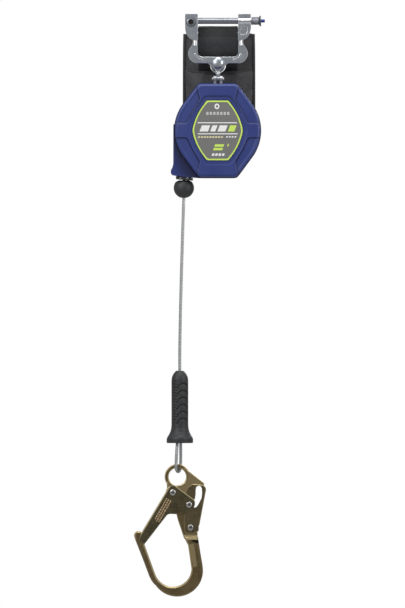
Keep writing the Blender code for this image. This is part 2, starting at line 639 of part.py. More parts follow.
def build_shaft():
    centre, axis = (DRUM_X, 0, DRUM_Z), (0, 1, 0)
    shaft = turned("main_shaft", [
        (0, 31.6), (4.9, 31.6), (SHAFT_RADIUS, 30.8), (SHAFT_RADIUS, -24.0), (9.0, -24.0),
        (9.0, -26.4), (8.2, -27.2), (0, -27.2)], centre, axis, 24)
    nut = cylinder("shaft_nut", (DRUM_X, 29.3, DRUM_Z), (DRUM_X, 32.6, DRUM_Z), 9.5, 6)
    cut(nut, cylinder("nut_bore", (DRUM_X, 25, DRUM_Z), (DRUM_X, 35, DRUM_Z), SHAFT_RADIUS + GAP, 24))
    return [finish(shaft, "steel"), finish(nut, "steel")]


def build_ratchet():
    outer = circle((DRUM_X, DRUM_Z), RATCHET_OUTER, 42)
    teeth = []
    for index in range(RATCHET_TEETH):
        start = 360 / RATCHET_TEETH * index
        teeth += arc((DRUM_X, DRUM_Z), RATCHET_TIP, start, start, 1)[:1]
        teeth += arc((DRUM_X, DRUM_Z), RATCHET_TIP + 4.2, start + 1.5, start + 15.0, 2)
    ring = plate("ratchet_ring", [outer, teeth], -21.0, -14.0)
    return finish(ring, "steel")


def pawl_outline(turn):
    """A pawl in the drum's plane, turned about the drum's centre with its pivot."""
    shape = arc((0, 0), 5.2, 60, 250, 6) + [(12.0, -1.0), (22.0, 3.0), (26.0, 6.5), (24.0, 9.5), (12.0, 9.0)]
    angle = math.radians(turn)
    outline = []
    for x, z in shape:
        z += PAWL_PIVOT_RADIUS
        outline.append((DRUM_X + x * math.cos(angle) - z * math.sin(angle),
                        DRUM_Z + x * math.sin(angle) + z * math.cos(angle)))
    return outline


def build_pawls():
    for name, turn in (("pawl_upper", 0), ("pawl_lower", 180)):
        pawl = plate(name, [pawl_outline(turn)], -19.4, -14.6)
        x, z = arc((DRUM_X, DRUM_Z), PAWL_PIVOT_RADIUS, 90 + turn, 90, 1)[0]
        cut(pawl, cylinder(name + "_bore", (x, -25, z), (x, -5, z), 2.8, 16))
        pivot(name + "_axis", (x, -17, z), [finish(pawl, "steel")])


# ---- nozzle --------------------------------------------------------------------------------
def roller_x(side):
    return LINE_X + side * (CABLE_RADIUS + 0.35 + ROLLER_RADIUS)


def build_guide():
    guide = plate("cable_guide", [[(-74.0, GUIDE_TOP), (-47.0, GUIDE_TOP), (-47.0, GUIDE_BOTTOM - 1.0),
                                   (-74.0, GUIDE_BOTTOM + 1.4)]], -14.0, 14.0)
    lip = [(-75.6, -278.0), (-44.4, -281.6), (-45.2, GUIDE_BOTTOM - 1.1), (-75.0, GUIDE_BOTTOM + 1.5)]
    join(guide, plate("guide_lip", [lip], -16.4, 16.4))
    cut(guide, cylinder("guide_bore", (LINE_X, 0, -255), (LINE_X, 0, -290), CABLE_RADIUS + 0.6, 20))
    parts = []
    for side, name in ((-1, "left"), (1, "right")):
        x = roller_x(side)
        cut(guide, box(f"roller_room_{name}", (x - 3.7, -5.4, -300), (x + 3.7, 5.4, -277.2)))
        cut(guide, cylinder(f"roller_hole_{name}", (x, -20, ROLLER_Z), (x, 20, ROLLER_Z), 1.5, 12))
        pin = cylinder(f"roller_pin_{name}", (x, -16.9, ROLLER_Z), (x, 16.9, ROLLER_Z), 1.2, 12)
        parts.append(finish(pin, "steel"))
        roller = turned(f"guide_roller_{name}", [(3.2, 5.0), (3.2, -5.0), (1.5, -5.0), (1.5, 5.0)],
                        (x, 0, ROLLER_Z), (0, 1, 0), 20, True)
        pivot(f"roller_axis_{name}", (x, 0, ROLLER_Z), [finish(roller, "steel")])
    return [finish(guide, "black")] + parts


# ---- line ----------------------------------------------------------------------------------
def ball_profile():
    start = math.asin((BALL_TOP - BALL_Z) / BALL_RADIUS)
    end = math.asin((BALL_BOTTOM - BALL_Z) / BALL_RADIUS)
    outer = []
    for step in range(9):
        angle = start + (end - start) * step / 8
        outer.append((BALL_RADIUS * math.cos(angle), BALL_Z + BALL_RADIUS * math.sin(angle)))
    inner = [(3.3, BALL_BOTTOM), (3.3, FERRULE_BOTTOM - GAP), (4.7, FERRULE_BOTTOM - GAP),
             (4.7, FERRULE_TOP + GAP), (3.3, FERRULE_TOP + GAP), (3.3, BALL_TOP)]
    return outer + inner


def grip_profile():
    outer = [(7.5, GRIP_TOP), (11.0, GRIP_TOP - 4.0), (14.0, GRIP_TOP - 9.5), (GRIP_RADIUS, GRIP_TOP - 15.0),
             (GRIP_RADIUS, -730.0), (16.5, -735.5), (20.0, -741.0), (FLARE_RADIUS, -746.5),
             (FLARE_RADIUS, GRIP_BOTTOM)]
    inner = [(20.5, GRIP_BOTTOM), (16.0, -742.0), (11.2, -730.0), (11.2, -650.0), (3.4, -648.0),
             (3.4, GRIP_TOP)]
    return outer + inner


def eye_point(across, along_z):
    """A point of the cable's eye, whose plane is turned about the vertical."""
    angle = math.radians(EYE_TURN)
    lean = (along_z - SWAGE_BOTTOM) / (EYE_BEND_Z - SWAGE_BOTTOM)
    middle = GRIP_X + (EYE_X - GRIP_X) * lean
    return (middle + across * math.cos(angle), across * math.sin(angle), along_z)


def eye_route():
    side = [(3.1, SWAGE_BOTTOM - 0.3), (3.5, -715.0), (6.8, -745.0), (9.6, -775.0)]
    left = [eye_point(-across, z) for across, z in side]
    bend = [eye_point(across, z) for across, z in
            arc((0, EYE_BEND_Z), EYE_BEND_RADIUS, 180, 360, 10)]
    right = [eye_point(across, z) for across, z in reversed(side)]
    return left + bend + right


def build_line():
    ball = turned("ball_stop", ball_profile(), (LINE_X, 0, 0), (0, 0, 1), 20, True)
    ferrule = turned("stop_ferrule", [(0, FERRULE_TOP), (4.4, FERRULE_TOP), (4.4, FERRULE_BOTTOM),
                                      (0, FERRULE_BOTTOM)], (LINE_X, 0, 0), (0, 0, 1), 20)
    run = tube("cable_run", [(LINE_X, 0, RUN_TOP), (LINE_X, 0, -250), (LINE_X, 0, -270),
                             (LINE_X, 0, FERRULE_TOP + GAP)], CABLE_RADIUS)
    cable = tube("cable", smooth_route(CABLE_ROUTE, 14.0), CABLE_RADIUS)
    grip = turned("cable_grip", grip_profile(), (GRIP_X, 0, 0), (0, 0, 1), 24, True)
    swage = turned("swage_sleeve", [(0, SWAGE_TOP), (5.2, SWAGE_TOP), (SWAGE_RADIUS, SWAGE_TOP - 2),
                                    (SWAGE_RADIUS, SWAGE_BOTTOM), (0, SWAGE_BOTTOM)],
                   (GRIP_X, 0, 0), (0, 0, 1), 20)
    eye = tube("cable_eye", smooth_route(eye_route(), 10.0), CABLE_RADIUS)
    parts = [finish(ball, "black"), finish(ferrule, "aluminium"), finish(run, "steel"), finish(cable, "steel"),
             finish(grip, "black"), finish(swage, "aluminium"), finish(eye, "steel"), build_thimble()]
    pivot("line_axis", (LINE_X, 0, BALL_Z), parts)


def build_thimble():
    """A thin curved saddle inside the bottom of the cable's eye."""
    far = EYE_BEND_RADIUS - CABLE_RADIUS - GAP
    near = far - THIMBLE_THICKNESS
    outline = arc((0, EYE_BEND_Z), far, 170, 370, 12) + arc((0, EYE_BEND_Z), near, 370, 170, 12)
    thimble = plate("thimble", [outline], -2.4, 2.4)
    turn = Matrix.Rotation(math.radians(EYE_TURN), 4, "Z")
    thimble.matrix_world = Matrix.Translation((EYE_X * MM, 0, 0)) @ turn @ thimble.matrix_world
    return finish(thimble, "steel")


# ---- hook ------------------------------------------------------------------------------------
def hook_place(points):
    return [(HOOK_X + x, HOOK_Z + z) for x, z in points]


def hook_at(point, y):
    return (HOOK_X + point[0], y, HOOK_Z + point[1])


def bow_outline():
    """The thick lower hook: spine, bowl and the arm up to the nose."""
    outer = [(10.9, -107.4), (36.8, -105.5), (38.5, -118.0), (41.3, -136.4), (44.8, -160.0)]
    outer += arc((0.2, -168.5), 44.6, 4, -150, 14)
    outer += [(-61.5, -148.0), (-75.6, -112.0)]
    nose = arc((-69.8, -104.9), 7.7, 200, -10, 8)
    inner = [(-58.5, -122.0), (-37.8, -178.0)]
    inner += arc((-7.0, -165.8), 30.0, 205, 345, 10)
    inner += [(23.2, -156.0), (18.1, -123.0), (14.0, -117.0)]
    return outer + nose + inner


def plate_outline():
    """The thinner plate between the eye and the bow, behind gate and lever."""
    left = [(-19.0, -10.0), (-18.5, -24.0), (-17.0, -40.0), (-9.0, -54.0), (-2.3, -64.0), (0.5, -76.0),
            (10.0, -104.5), (12.5, -112.0), (36.4, -110.0)]
    right = [(36.0, -98.0), (35.5, -86.0), (33.0, -68.0)]
    right += arc(GATE_PIVOT, LEVER_GAP_RADIUS, -40, 12, 8)
    horn = [(35.0, -13.0), (47.0, -17.0), (48.6, -12.0), (30.0, 2.6), (12.0, 16.4), (0.0, 12.0)]
    return left + right + horn


def build_hook_body():
    body = plate("hook_body", [hook_place(bow_outline())], -BOW_HALF, BOW_HALF, 2.2, 1)
    upper = plate("hook_plate", [hook_place(plate_outline())], -PLATE_HALF, PLATE_HALF)
    cut(upper, cylinder("hook_eye_hole", hook_at((0, 0), -12), hook_at((0, 0), 12), HOOK_EYE_INNER + 3.2, 28))
    half, outer, inner = HOOK_EYE_HALF, HOOK_EYE_OUTER, HOOK_EYE_INNER
    eye = turned("hook_eye", [(outer - 1.5, half), (outer, half - 1.5), (outer, 1.5 - half), (outer - 1.5, -half),
                              (inner + 1.8, -half), (inner, 1.8 - half), (inner, half - 1.8), (inner + 1.8, half)],
                 hook_at((0, 0), 0), (0, 1, 0), 32, True)
    join(body, upper, eye)
    for name, place in (("gate", GATE_PIVOT), ("lever", LEVER_PIVOT)):
        cut(body, cylinder(f"{name}_rivet_hole", hook_at(place, -12), hook_at(place, 12), RIVET_RADIUS + GAP, 20))
    cut(body, cylinder("lever_spring_room", hook_at(LEVER_PIVOT, 1.0), hook_at(LEVER_PIVOT, 12), 8.4, 24))
    return finish(body, "bronze")


def gate_outline():
    top = arc(GATE_PIVOT, 12.6, 175, 60, 6)
    tail = [(29.7, -40.6), (31.5, -44.5), (31.5, -50.0), (29.7, -55.3), (21.0, -60.5), (12.2, -64.1)]
    lower = [(-2.3, -66.9), (-13.1, -66.4), (-17.9, -67.8), (-58.7, -120.5), (-68.9, -114.2), (-64.4, -100.0)]
    return top + tail + lower


def build_gate():
    """A folded channel: two side plates joined by a web along the outer edge."""
    gate = plate("hook_gate", [hook_place(gate_outline())], -GATE_OUTER, GATE_OUTER)
    room = [(-90.0, -96.0), (-57.8, -96.0), (-54.6, -89.2), (-26.6, -42.0), (-40.0, -36.0), (-40.0, 10.0),
            (60.0, 10.0), (60.0, -140.0), (-90.0, -140.0)]
    cut(gate, plate("gate_room", [hook_place(room)], -GATE_INNER, GATE_INNER))
    for name, place in (("pivot", GATE_PIVOT), ("tail", TAIL_RIVET)):
        cut(gate, cylinder(f"gate_{name}_hole", hook_at(place, -20), hook_at(place, 20), RIVET_RADIUS + GAP, 20))
    return finish(gate, "olive")


def lever_outline():
    return [(15.0, -27.2), (18.1, -19.3), (26.7, -12.5), (45.1, -14.5), (50.0, -18.0), (51.6, -22.5),
            (39.7, -85.4), (38.5, -88.0), (38.3, -97.0), (30.5, -101.8), (21.8, -103.8), (14.5, -101.0),
            (12.2, -96.0), (12.2, -67.8)]


def build_lever():
    lever = plate("lock_lever", [hook_place(lever_outline())], -LEVER_OUTER, LEVER_OUTER)
    room = [(0.0, -150.0), (38.6, -150.0), (38.6, -90.0), (37.0, -85.4), (48.6, -24.0), (56.0, -19.6),
            (56.0, 0.0), (0.0, 0.0)]
    cut(lever, plate("lever_room", [hook_place(room)], -LEVER_INNER, LEVER_INNER))
    window = arc(GATE_PIVOT, LEVER_GAP_RADIUS + 1.0, -52, 8, 8) + arc(GATE_PIVOT, 50.8, 8, -12, 4)
    window += arc(GATE_PIVOT, 48.0, -20, -44, 3)
    cut(lever, plate("lever_window", [hook_place(window)], -20, 20))
    cut(lever, cylinder("lever_hole", hook_at(LEVER_PIVOT, -20), hook_at(LEVER_PIVOT, 20), RIVET_RADIUS + GAP, 20))
    return finish(lever, "bronze")


def rivet(name, place, inner, outer):
    """A tubular rivet with a rolled head at each end, just outside a pair of plates."""
    head = outer + GAP
    profile = [(0, head + 1.6), (4.4, head + 1.6), (RIVET_HEAD, head + 0.8), (RIVET_HEAD, head),
               (RIVET_RADIUS, head)]
    profile += [(radius, -height) for radius, height in reversed(profile)]
    return finish(turned(name, profile, hook_at(place, 0), (0, 1, 0), 18), "steel")


def short_rivet(name, place, side):
    near, far = GATE_INNER + 0.1, GATE_OUTER + GAP
    profile = [(0, far + 1.6), (4.4, far + 1.6), (RIVET_HEAD, far + 0.8), (RIVET_HEAD, far),
               (RIVET_RADIUS, far), (RIVET_RADIUS, near), (0, near)]
    return finish(turned(name, profile, hook_at(place, 0), (0, side, 0), 18), "steel")


def torsion_spring(name, place, low, high, radius, wire):
    coil = []
    turns = 1.5
    for index in range(int(turns * 14) + 1):
        angle = 2 * math.pi * index / 14
        x, z = radius * math.cos(angle), radius * math.sin(angle)
        share = index / (turns * 14)
        coil.append((HOOK_X + place[0] + x, low + (high - low) * share, HOOK_Z + place[1] + z))
    return finish(tube(name, coil, wire, 1), "steel")


def build_hook():
    body = [build_hook_body(), rivet("gate_rivet", GATE_PIVOT, GATE_INNER, GATE_OUTER),
            rivet("lever_rivet", LEVER_PIVOT, LEVER_INNER, LEVER_OUTER),
            torsion_spring("gate_spring", GATE_PIVOT, 5.75, 6.85, 5.2, 0.4),
            torsion_spring("lever_spring", LEVER_PIVOT, 2.0, 4.6, 5.6, 0.6)]
    pivot("hook_axis", hook_at((0, 0), 0), body)
    gate = [build_gate(), short_rivet("tail_rivet_front", TAIL_RIVET, -1),
            short_rivet("tail_rivet_rear", TAIL_RIVET, 1)]
    pivot("gate_axis", hook_at(GATE_PIVOT, 0), gate)
    pivot("lever_axis", hook_at(LEVER_PIVOT, 0), [build_lever()])


build_connector()
build_pin()
build_swivel()
build_absorber()
HOUSING_PARTS = build_front_cover() + [build_rear_cover(), build_load_frame(), build_power_spring()]
HOUSING_PARTS += [build_ratchet()] + build_screws() + build_clevis_pin() + build_shaft() + build_guide()
pivot("housing_axis", (0, 0, CLEVIS_Z), HOUSING_PARTS)
build_drum()
build_pawls()
build_line()
build_hook()
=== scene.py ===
"""Self retracting lifeline: the looks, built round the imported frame.

Lengths are in millimetres and MM turns them into Blender's metres. -Y is the front, +Z is up,
and the origin is the centre of the connector's pin.
"""

import json
import math

import bmesh
import bpy
import numpy as np
from mathutils import Matrix, Vector, noise

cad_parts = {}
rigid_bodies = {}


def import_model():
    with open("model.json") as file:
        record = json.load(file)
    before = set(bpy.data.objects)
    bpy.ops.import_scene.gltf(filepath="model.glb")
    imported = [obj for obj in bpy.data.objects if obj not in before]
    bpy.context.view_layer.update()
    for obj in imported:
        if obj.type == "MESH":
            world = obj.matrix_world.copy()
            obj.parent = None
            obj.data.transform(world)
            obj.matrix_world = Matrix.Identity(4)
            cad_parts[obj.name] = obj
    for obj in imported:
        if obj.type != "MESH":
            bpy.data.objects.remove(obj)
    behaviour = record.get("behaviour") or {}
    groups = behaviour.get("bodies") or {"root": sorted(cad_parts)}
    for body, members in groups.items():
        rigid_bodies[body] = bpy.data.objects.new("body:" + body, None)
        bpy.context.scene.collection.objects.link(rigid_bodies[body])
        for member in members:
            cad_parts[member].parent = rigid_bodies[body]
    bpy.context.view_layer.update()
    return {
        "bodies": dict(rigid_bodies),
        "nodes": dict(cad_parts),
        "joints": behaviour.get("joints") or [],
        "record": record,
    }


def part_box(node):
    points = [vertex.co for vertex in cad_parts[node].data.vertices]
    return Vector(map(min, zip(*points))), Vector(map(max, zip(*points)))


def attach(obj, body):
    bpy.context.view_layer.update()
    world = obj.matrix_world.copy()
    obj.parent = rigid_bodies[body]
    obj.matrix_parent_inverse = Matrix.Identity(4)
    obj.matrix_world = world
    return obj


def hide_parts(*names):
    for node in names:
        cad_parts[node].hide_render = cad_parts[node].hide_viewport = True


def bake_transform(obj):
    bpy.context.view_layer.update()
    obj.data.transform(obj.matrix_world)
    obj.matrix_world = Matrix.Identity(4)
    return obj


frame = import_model()

MM = 0.001
GAP = 0.3       # between a piece and the room cut for it
SEAM = 0.001    # points this close are one point
AXIS = 0.01     # the radius of a turned profile's ends on its axis


def cad_box(node):
    """A CAD node's lowest and highest corners, in millimetres."""
    low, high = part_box(node)
    return np.array(low) / MM, np.array(high) / MM


# ---- places taken from the frame -----------------------------------------------------------
COVER_LOW, COVER_HIGH = cad_box("front_cover")
REAR_LOW, REAR_HIGH = cad_box("rear_cover")
LABEL_LOW, LABEL_HIGH = cad_box("front_label")
HOUSING_X = (COVER_LOW[0] + COVER_HIGH[0]) / 2
HOUSING_Z = (COVER_LOW[2] + COVER_HIGH[2]) / 2
HALF_HEIGHT = (COVER_HIGH[2] - COVER_LOW[2]) / 2
FRONT_FACE, PARTING, REAR_FACE = COVER_LOW[1], COVER_HIGH[1], REAR_HIGH[1]
LABEL_HALF_WIDTH = (LABEL_HIGH[0] - LABEL_LOW[0]) / 2
LABEL_HALF_HEIGHT = (LABEL_HIGH[2] - LABEL_LOW[2]) / 2
BALL_LOW, BALL_HIGH = cad_box("ball_stop")
LINE_X = (BALL_LOW[0] + BALL_HIGH[0]) / 2
BALL_RADIUS = (BALL_HIGH[0] - BALL_LOW[0]) / 2
GRIP_LOW, GRIP_HIGH = cad_box("cable_grip")
GRIP_X = (GRIP_LOW[0] + GRIP_HIGH[0]) / 2
CABLE_RADIUS = 2.8
STRANDS, STRAND_SIDES = 7, 56
POUCH_LOW, POUCH_HIGH = cad_box("absorber_pouch")
HOOK_X, HOOK_Z = -72.7, -815.7

# The cable's route, as in the CAD.
CABLE_ROUTE = (
    (-61.0, 0.0, -309.4), (-61.4, 0.0, -325.0), (-63.4, 0.0, -385.0), (-65.3, 0.0, -449.0),
    (-67.0, 0.0, -514.0), (-68.2, 0.0, -578.0), (-68.4, 0.0, -620.0), (-68.2, 0.0, -659.7),
)


def hook_place(points):
    """Moves (X, Z) points given from the centre of the hook's eye."""
    return [(HOOK_X + x, HOOK_Z + z) for x, z in points]


def hook_at(point, y):
    return (HOOK_X + point[0], y, HOOK_Z + point[1])


# ---- materials -----------------------------------------------------------------------------
class Finish:
    """A Principled material with short calls for the noise, mixing and bump behind it."""

    def __init__(self, name, colour, roughness, metallic=0.0, **sockets):
        self.material = bpy.data.materials.new(name)
        self.material.use_nodes = True
        self.tree = self.material.node_tree
        self.shader = self.tree.nodes["Principled BSDF"]
        self.shader.inputs["Base Color"].default_value = (*colour, 1.0)
        self.shader.inputs["Roughness"].default_value = roughness
        self.shader.inputs["Metallic"].default_value = metallic
        for socket, value in sockets.items():
            self.shader.inputs[socket.replace("_", " ")].default_value = value
        self.height = None

    def node(self, kind, **values):
        made = self.tree.nodes.new(kind)
        for key, value in values.items():
            setattr(made, key, value)
        return made

    def link(self, source, target):
        self.tree.links.new(source, target)

    def place(self, scale=(1, 1, 1), turn=(0, 0, 0)):
        """Object coordinates in millimetres, scaled and turned (degrees)."""
        coordinates = self.node("ShaderNodeTexCoord").outputs["Object"]
        mapping = self.node("ShaderNodeMapping")
        mapping.inputs["Scale"].default_value = [value / MM for value in scale]
        mapping.inputs["Rotation"].default_value = [math.radians(value) for value in turn]
        self.link(coordinates, mapping.inputs["Vector"])
        return mapping.outputs["Vector"]

    def noise(self, size, detail=3.0, stretch=(1, 1, 1), turn=(0, 0, 0)):
        """Noise whose blobs are about size millimetres across."""
        made = self.node("ShaderNodeTexNoise")
        made.inputs["Scale"].default_value = 1.0
        made.inputs["Detail"].default_value = detail
        scale = [1.0 / (size * value) for value in stretch]
        self.link(self.place(scale, turn), made.inputs["Vector"])
        return made.outputs["Fac"]

    def wave(self, spacing, turn=(0, 0, 0), distortion=0.0):
        """Parallel ribs spacing millimetres apart along X before the turn."""
        made = self.node("ShaderNodeTexWave", wave_type="BANDS", bands_direction="X")
        made.inputs["Scale"].default_value = math.pi / 10 / spacing * 2
        made.inputs["Distortion"].default_value = distortion
        self.link(self.place((1, 1, 1), turn), made.inputs["Vector"])
        return made.outputs["Fac"]

    def ramp(self, source, low, high):
        """Stretches a 0 to 1 source so that low becomes 0 and high becomes 1."""
        made = self.node("ShaderNodeMapRange", interpolation_type="SMOOTHSTEP")
        made.inputs["From Min"].default_value = low
        made.inputs["From Max"].default_value = high
        self.link(source, made.inputs["Value"])
        return made.outputs["Result"]

    def band(self, place, direction, width):
        """1 within width millimetres of the plane through place, across direction, and 0 beyond."""
        across = Vector(direction).normalized()
        made = self.node("ShaderNodeVectorMath", operation="DOT_PRODUCT")
        self.link(self.place(), made.inputs[0])
        made.inputs[1].default_value = across
        reach = self.math("SUBTRACT", made.outputs["Value"], across.dot(Vector(place)))
        size = self.math("ABSOLUTE", reach, 0.0)
        return self.math("SUBTRACT", 1.0, self.ramp(size, 0.75 * width, 1.15 * width))

    def attribute(self, name):
        return self.node("ShaderNodeAttribute", attribute_name=name).outputs["Fac"]

    def math(self, operation, first, second):
        made = self.node("ShaderNodeMath", operation=operation)
        for index, value in enumerate((first, second)):
            if hasattr(value, "is_output"):
                self.link(value, made.inputs[index])
            else:
                made.inputs[index].default_value = value
        return made.outputs[0]

    def tint(self, factor, colour):
        """Mixes colour over the base colour where factor is 1."""
        made = self.node("ShaderNodeMix", data_type="RGBA")
        target = self.shader.inputs["Base Color"]
        if target.is_linked:
            self.link(target.links[0].from_socket, made.inputs[6])
        else:
            made.inputs[6].default_value = target.default_value
        made.inputs[7].default_value = (*colour, 1.0)
        self.link(factor, made.inputs[0])
        self.link(made.outputs[2], target)
        return self

    def rough(self, factor, low, high):
        made = self.node("ShaderNodeMapRange")
        made.inputs["To Min"].default_value = low
        made.inputs["To Max"].default_value = high
        self.link(factor, made.inputs["Value"])
        self.link(made.outputs["Result"], self.shader.inputs["Roughness"])
        return self

    def bump(self, source, depth, strength=1.0):
        """Adds relief of depth millimetres."""
        made = self.node("ShaderNodeBump")
        made.inputs["Distance"].default_value = depth * MM
        made.inputs["Strength"].default_value = strength
        self.link(source, made.inputs["Height"])
        if self.height is not None:
            self.link(self.height, made.inputs["Normal"])
        self.height = made.outputs["Normal"]
        self.link(self.height, self.shader.inputs["Normal"])
        return self


def cast_aluminium():
    finish = Finish("cast_aluminium", (0.42, 0.46, 0.51), 0.30, 1.0)
    finish.tint(finish.ramp(finish.noise(9.0), 0.40, 0.75), (0.52, 0.55, 0.58))
    # Painted highlight: the front bevels are lightened.
    finish.tint(finish.attribute("wear_and_highlight"), (0.92, 0.93, 0.93))
    finish.rough(finish.noise(2.5), 0.24, 0.42)
    finish.bump(finish.noise(14.0, 1.0), 1.2, 0.35).bump(finish.noise(1.1), 0.12, 0.5)
    return finish.material


def turned_steel(name="turned_steel", colour=(0.30, 0.32, 0.35), along=(1, 30, 30)):
    """Bright steel with fine tool marks across one axis."""
    finish = Finish(name, colour, 0.25, 1.0)
    finish.rough(finish.noise(0.5, 2.0, along), 0.26, 0.42)
    finish.tint(finish.ramp(finish.noise(6.0), 0.45, 0.8), tuple(0.75 * value for value in colour))
    finish.bump(finish.noise(0.35, 2.0, along), 0.03, 0.6)
    return finish.material


def plain_steel(name, colour, rough=(0.28, 0.5)):
    finish = Finish(name, colour, 0.4, 1.0)
    finish.tint(finish.ramp(finish.noise(12.0), 0.4, 0.75), tuple(0.7 * value for value in colour))
    finish.rough(finish.noise(3.0), *rough)
    finish.bump(finish.noise(0.8), 0.05, 0.5)
    return finish.material


def chromated_steel(name, colour, patch, fine, bright, bands=()):
    """Yellow-chromated steel: uneven colour, tiny pits and a satin gloss, with bright bands that are partly wear and
    partly painted highlight, and painted shade in the notches.
    """
    finish = Finish(name, colour, 0.36, 0.85)
    finish.tint(finish.ramp(finish.noise(14.0, 4.0), 0.42, 0.66), patch)
    finish.tint(finish.ramp(finish.noise(2.2, 4.0), 0.50, 0.68), fine)
    # Bright edges: wear on the hook, and painted highlight on its bevels and on the gate's and lever's.
    finish.tint(finish.attribute("wear_and_highlight"), bright)
    # Painted shade in the hook's notches.
    finish.tint(finish.attribute("painted_shade"), (0.03, 0.022, 0.012))
    # Bright bands: worn metal and painted highlight.
    for crossed in bands:
        factor = finish.band(*crossed[0])
        for other in crossed[1:]:
            factor = finish.math("MULTIPLY", factor, finish.band(*other))
        finish.tint(factor, bright)
    finish.rough(finish.noise(2.2), 0.26, 0.52)
    finish.bump(finish.noise(1.3, 4.0), 0.16, 0.55)
    return finish.material


def housing_plastic():
    """Grained blue plastic, with painted shade darkening its grooves, recesses and back-turned walls, and painted
    highlight lightening its proud edges.
    """
    finish = Finish("blue_plastic", (0.017, 0.033, 0.172), 0.46)
    finish.tint(finish.ramp(finish.noise(45.0), 0.35, 0.75), (0.025, 0.043, 0.19))
    # Painted highlight along the proud edges.
    finish.tint(finish.attribute("wear_and_highlight"), (0.055, 0.082, 0.26))
    # Painted shade in grooves and recesses and on walls turned away from the light.
    finish.tint(finish.attribute("painted_shade"), (0.003, 0.006, 0.050))
    finish.rough(finish.noise(1.2), 0.40, 0.54)
    finish.bump(finish.noise(0.55, 2.0), 0.07, 0.5)
    return finish.material


def printed(name, colour, rough=0.5):
    finish = Finish(name, colour, rough)
    finish.tint(finish.ramp(finish.noise(0.5, 2.0), 0.5, 0.8), tuple(0.85 * value for value in colour))
    finish.bump(finish.noise(0.4, 2.0), 0.02, 0.4)
    return finish.material


def moulded_black(name, colour=(0.025, 0.026, 0.028), rough=(0.42, 0.6)):
    finish = Finish(name, colour, 0.5)
    finish.tint(finish.ramp(finish.noise(20.0), 0.4, 0.8), tuple(1.35 * value for value in colour))
    # Painted shade in the grip's grooves.
    finish.tint(finish.attribute("painted_shade"), (0.003, 0.003, 0.003))
    finish.rough(finish.noise(1.5), *rough)
    finish.bump(finish.noise(0.5, 2.0), 0.06, 0.5)
    return finish.material


def webbing():
    """Black webbing: ribs a little off the vertical, crossed by finer picks."""
    finish = Finish("ribbed_webbing", (0.010, 0.010, 0.011), 0.45, Sheen_Weight=0.12,
                    Sheen_Roughness=0.35)
    # Painted highlight: a lighter sheen band across the strap round Z -38, where it turns up towards the light.
    finish.tint(finish.band((0, 0, -38.0), (0, 0, 1), 10.0), (0.034, 0.035, 0.038))
    ribs = finish.wave(4.6, (0, 12, 0), 0.4)
    finish.tint(finish.math("MULTIPLY", finish.ramp(ribs, 0.30, 0.85), 0.6), (0.050, 0.051, 0.054))
    finish.bump(ribs, 0.35, 0.7).bump(finish.wave(0.9, (0, 90, 0)), 0.10, 0.5)
    finish.bump(finish.noise(0.4), 0.05, 0.5)
    return finish.material


def pouch_cloth():
    finish = Finish("pouch_cloth", (0.030, 0.030, 0.033), 0.58, Sheen_Weight=0.30, Sheen_Roughness=0.4)
    finish.tint(finish.ramp(finish.noise(30.0), 0.35, 0.8), (0.050, 0.050, 0.054))
    weave = finish.math("MULTIPLY", finish.wave(1.1, (0, 0, 0), 0.3), finish.wave(1.1, (0, 90, 0), 0.3))
    finish.bump(weave, 0.14, 0.6).bump(finish.noise(24.0, 3.0), 2.0, 0.30)
    return finish.material


def edge_tape():
    finish = Finish("edge_tape", (0.006, 0.006, 0.007), 0.55, Sheen_Weight=0.25, Sheen_Roughness=0.4)
    ribs = finish.wave(1.3, (0, 90, 0), 0.3)
    finish.tint(finish.ramp(ribs, 0.4, 0.9), (0.018, 0.018, 0.019))
    finish.bump(ribs, 0.18, 0.6).bump(finish.noise(0.5), 0.05, 0.5)
    return finish.material


def thread():
    finish = Finish("black_thread", (0.02, 0.02, 0.021), 0.6)
    finish.tint(finish.ramp(finish.noise(0.8), 0.4, 0.8), (0.04, 0.04, 0.042))
    finish.bump(finish.noise(0.3), 0.05, 0.5)
    return finish.material


def wire_rope():
    finish = Finish("galvanised_wire", (0.58, 0.59, 0.60), 0.30, 0.9)
    # Painted shade in the gaps between the strands.
    finish.tint(finish.attribute("painted_shade"), (0.10, 0.105, 0.11))
    finish.tint(finish.ramp(finish.noise(2.0), 0.45, 0.8), (0.42, 0.43, 0.45))
    finish.rough(finish.noise(0.6), 0.22, 0.45)
    finish.bump(finish.noise(0.35, 2.0), 0.05, 0.5)
    return finish.material


# The hook's bright bands, partly worn metal and partly painted highlight, each a place, a direction across it and a
# half width. Crossed ones multiply.
STEP_BAND = hook_at((24.2, -108.3), 0)
HOOK_BANDS = (((STEP_BAND, (0, 0, 1), 4.6), (STEP_BAND, (1, 0, 0), 15.0)),)
GATE_BANDS = (((hook_at((-64.4, -100.0), 0), (0.858, 0, -0.513), 2.3),),
              ((hook_at((-2.0, -17.2), 0), (0.594, 0, 0.804), 1.6),
               (hook_at((14.7, -29.3), 0), (1, 0, 0), 19.0)))

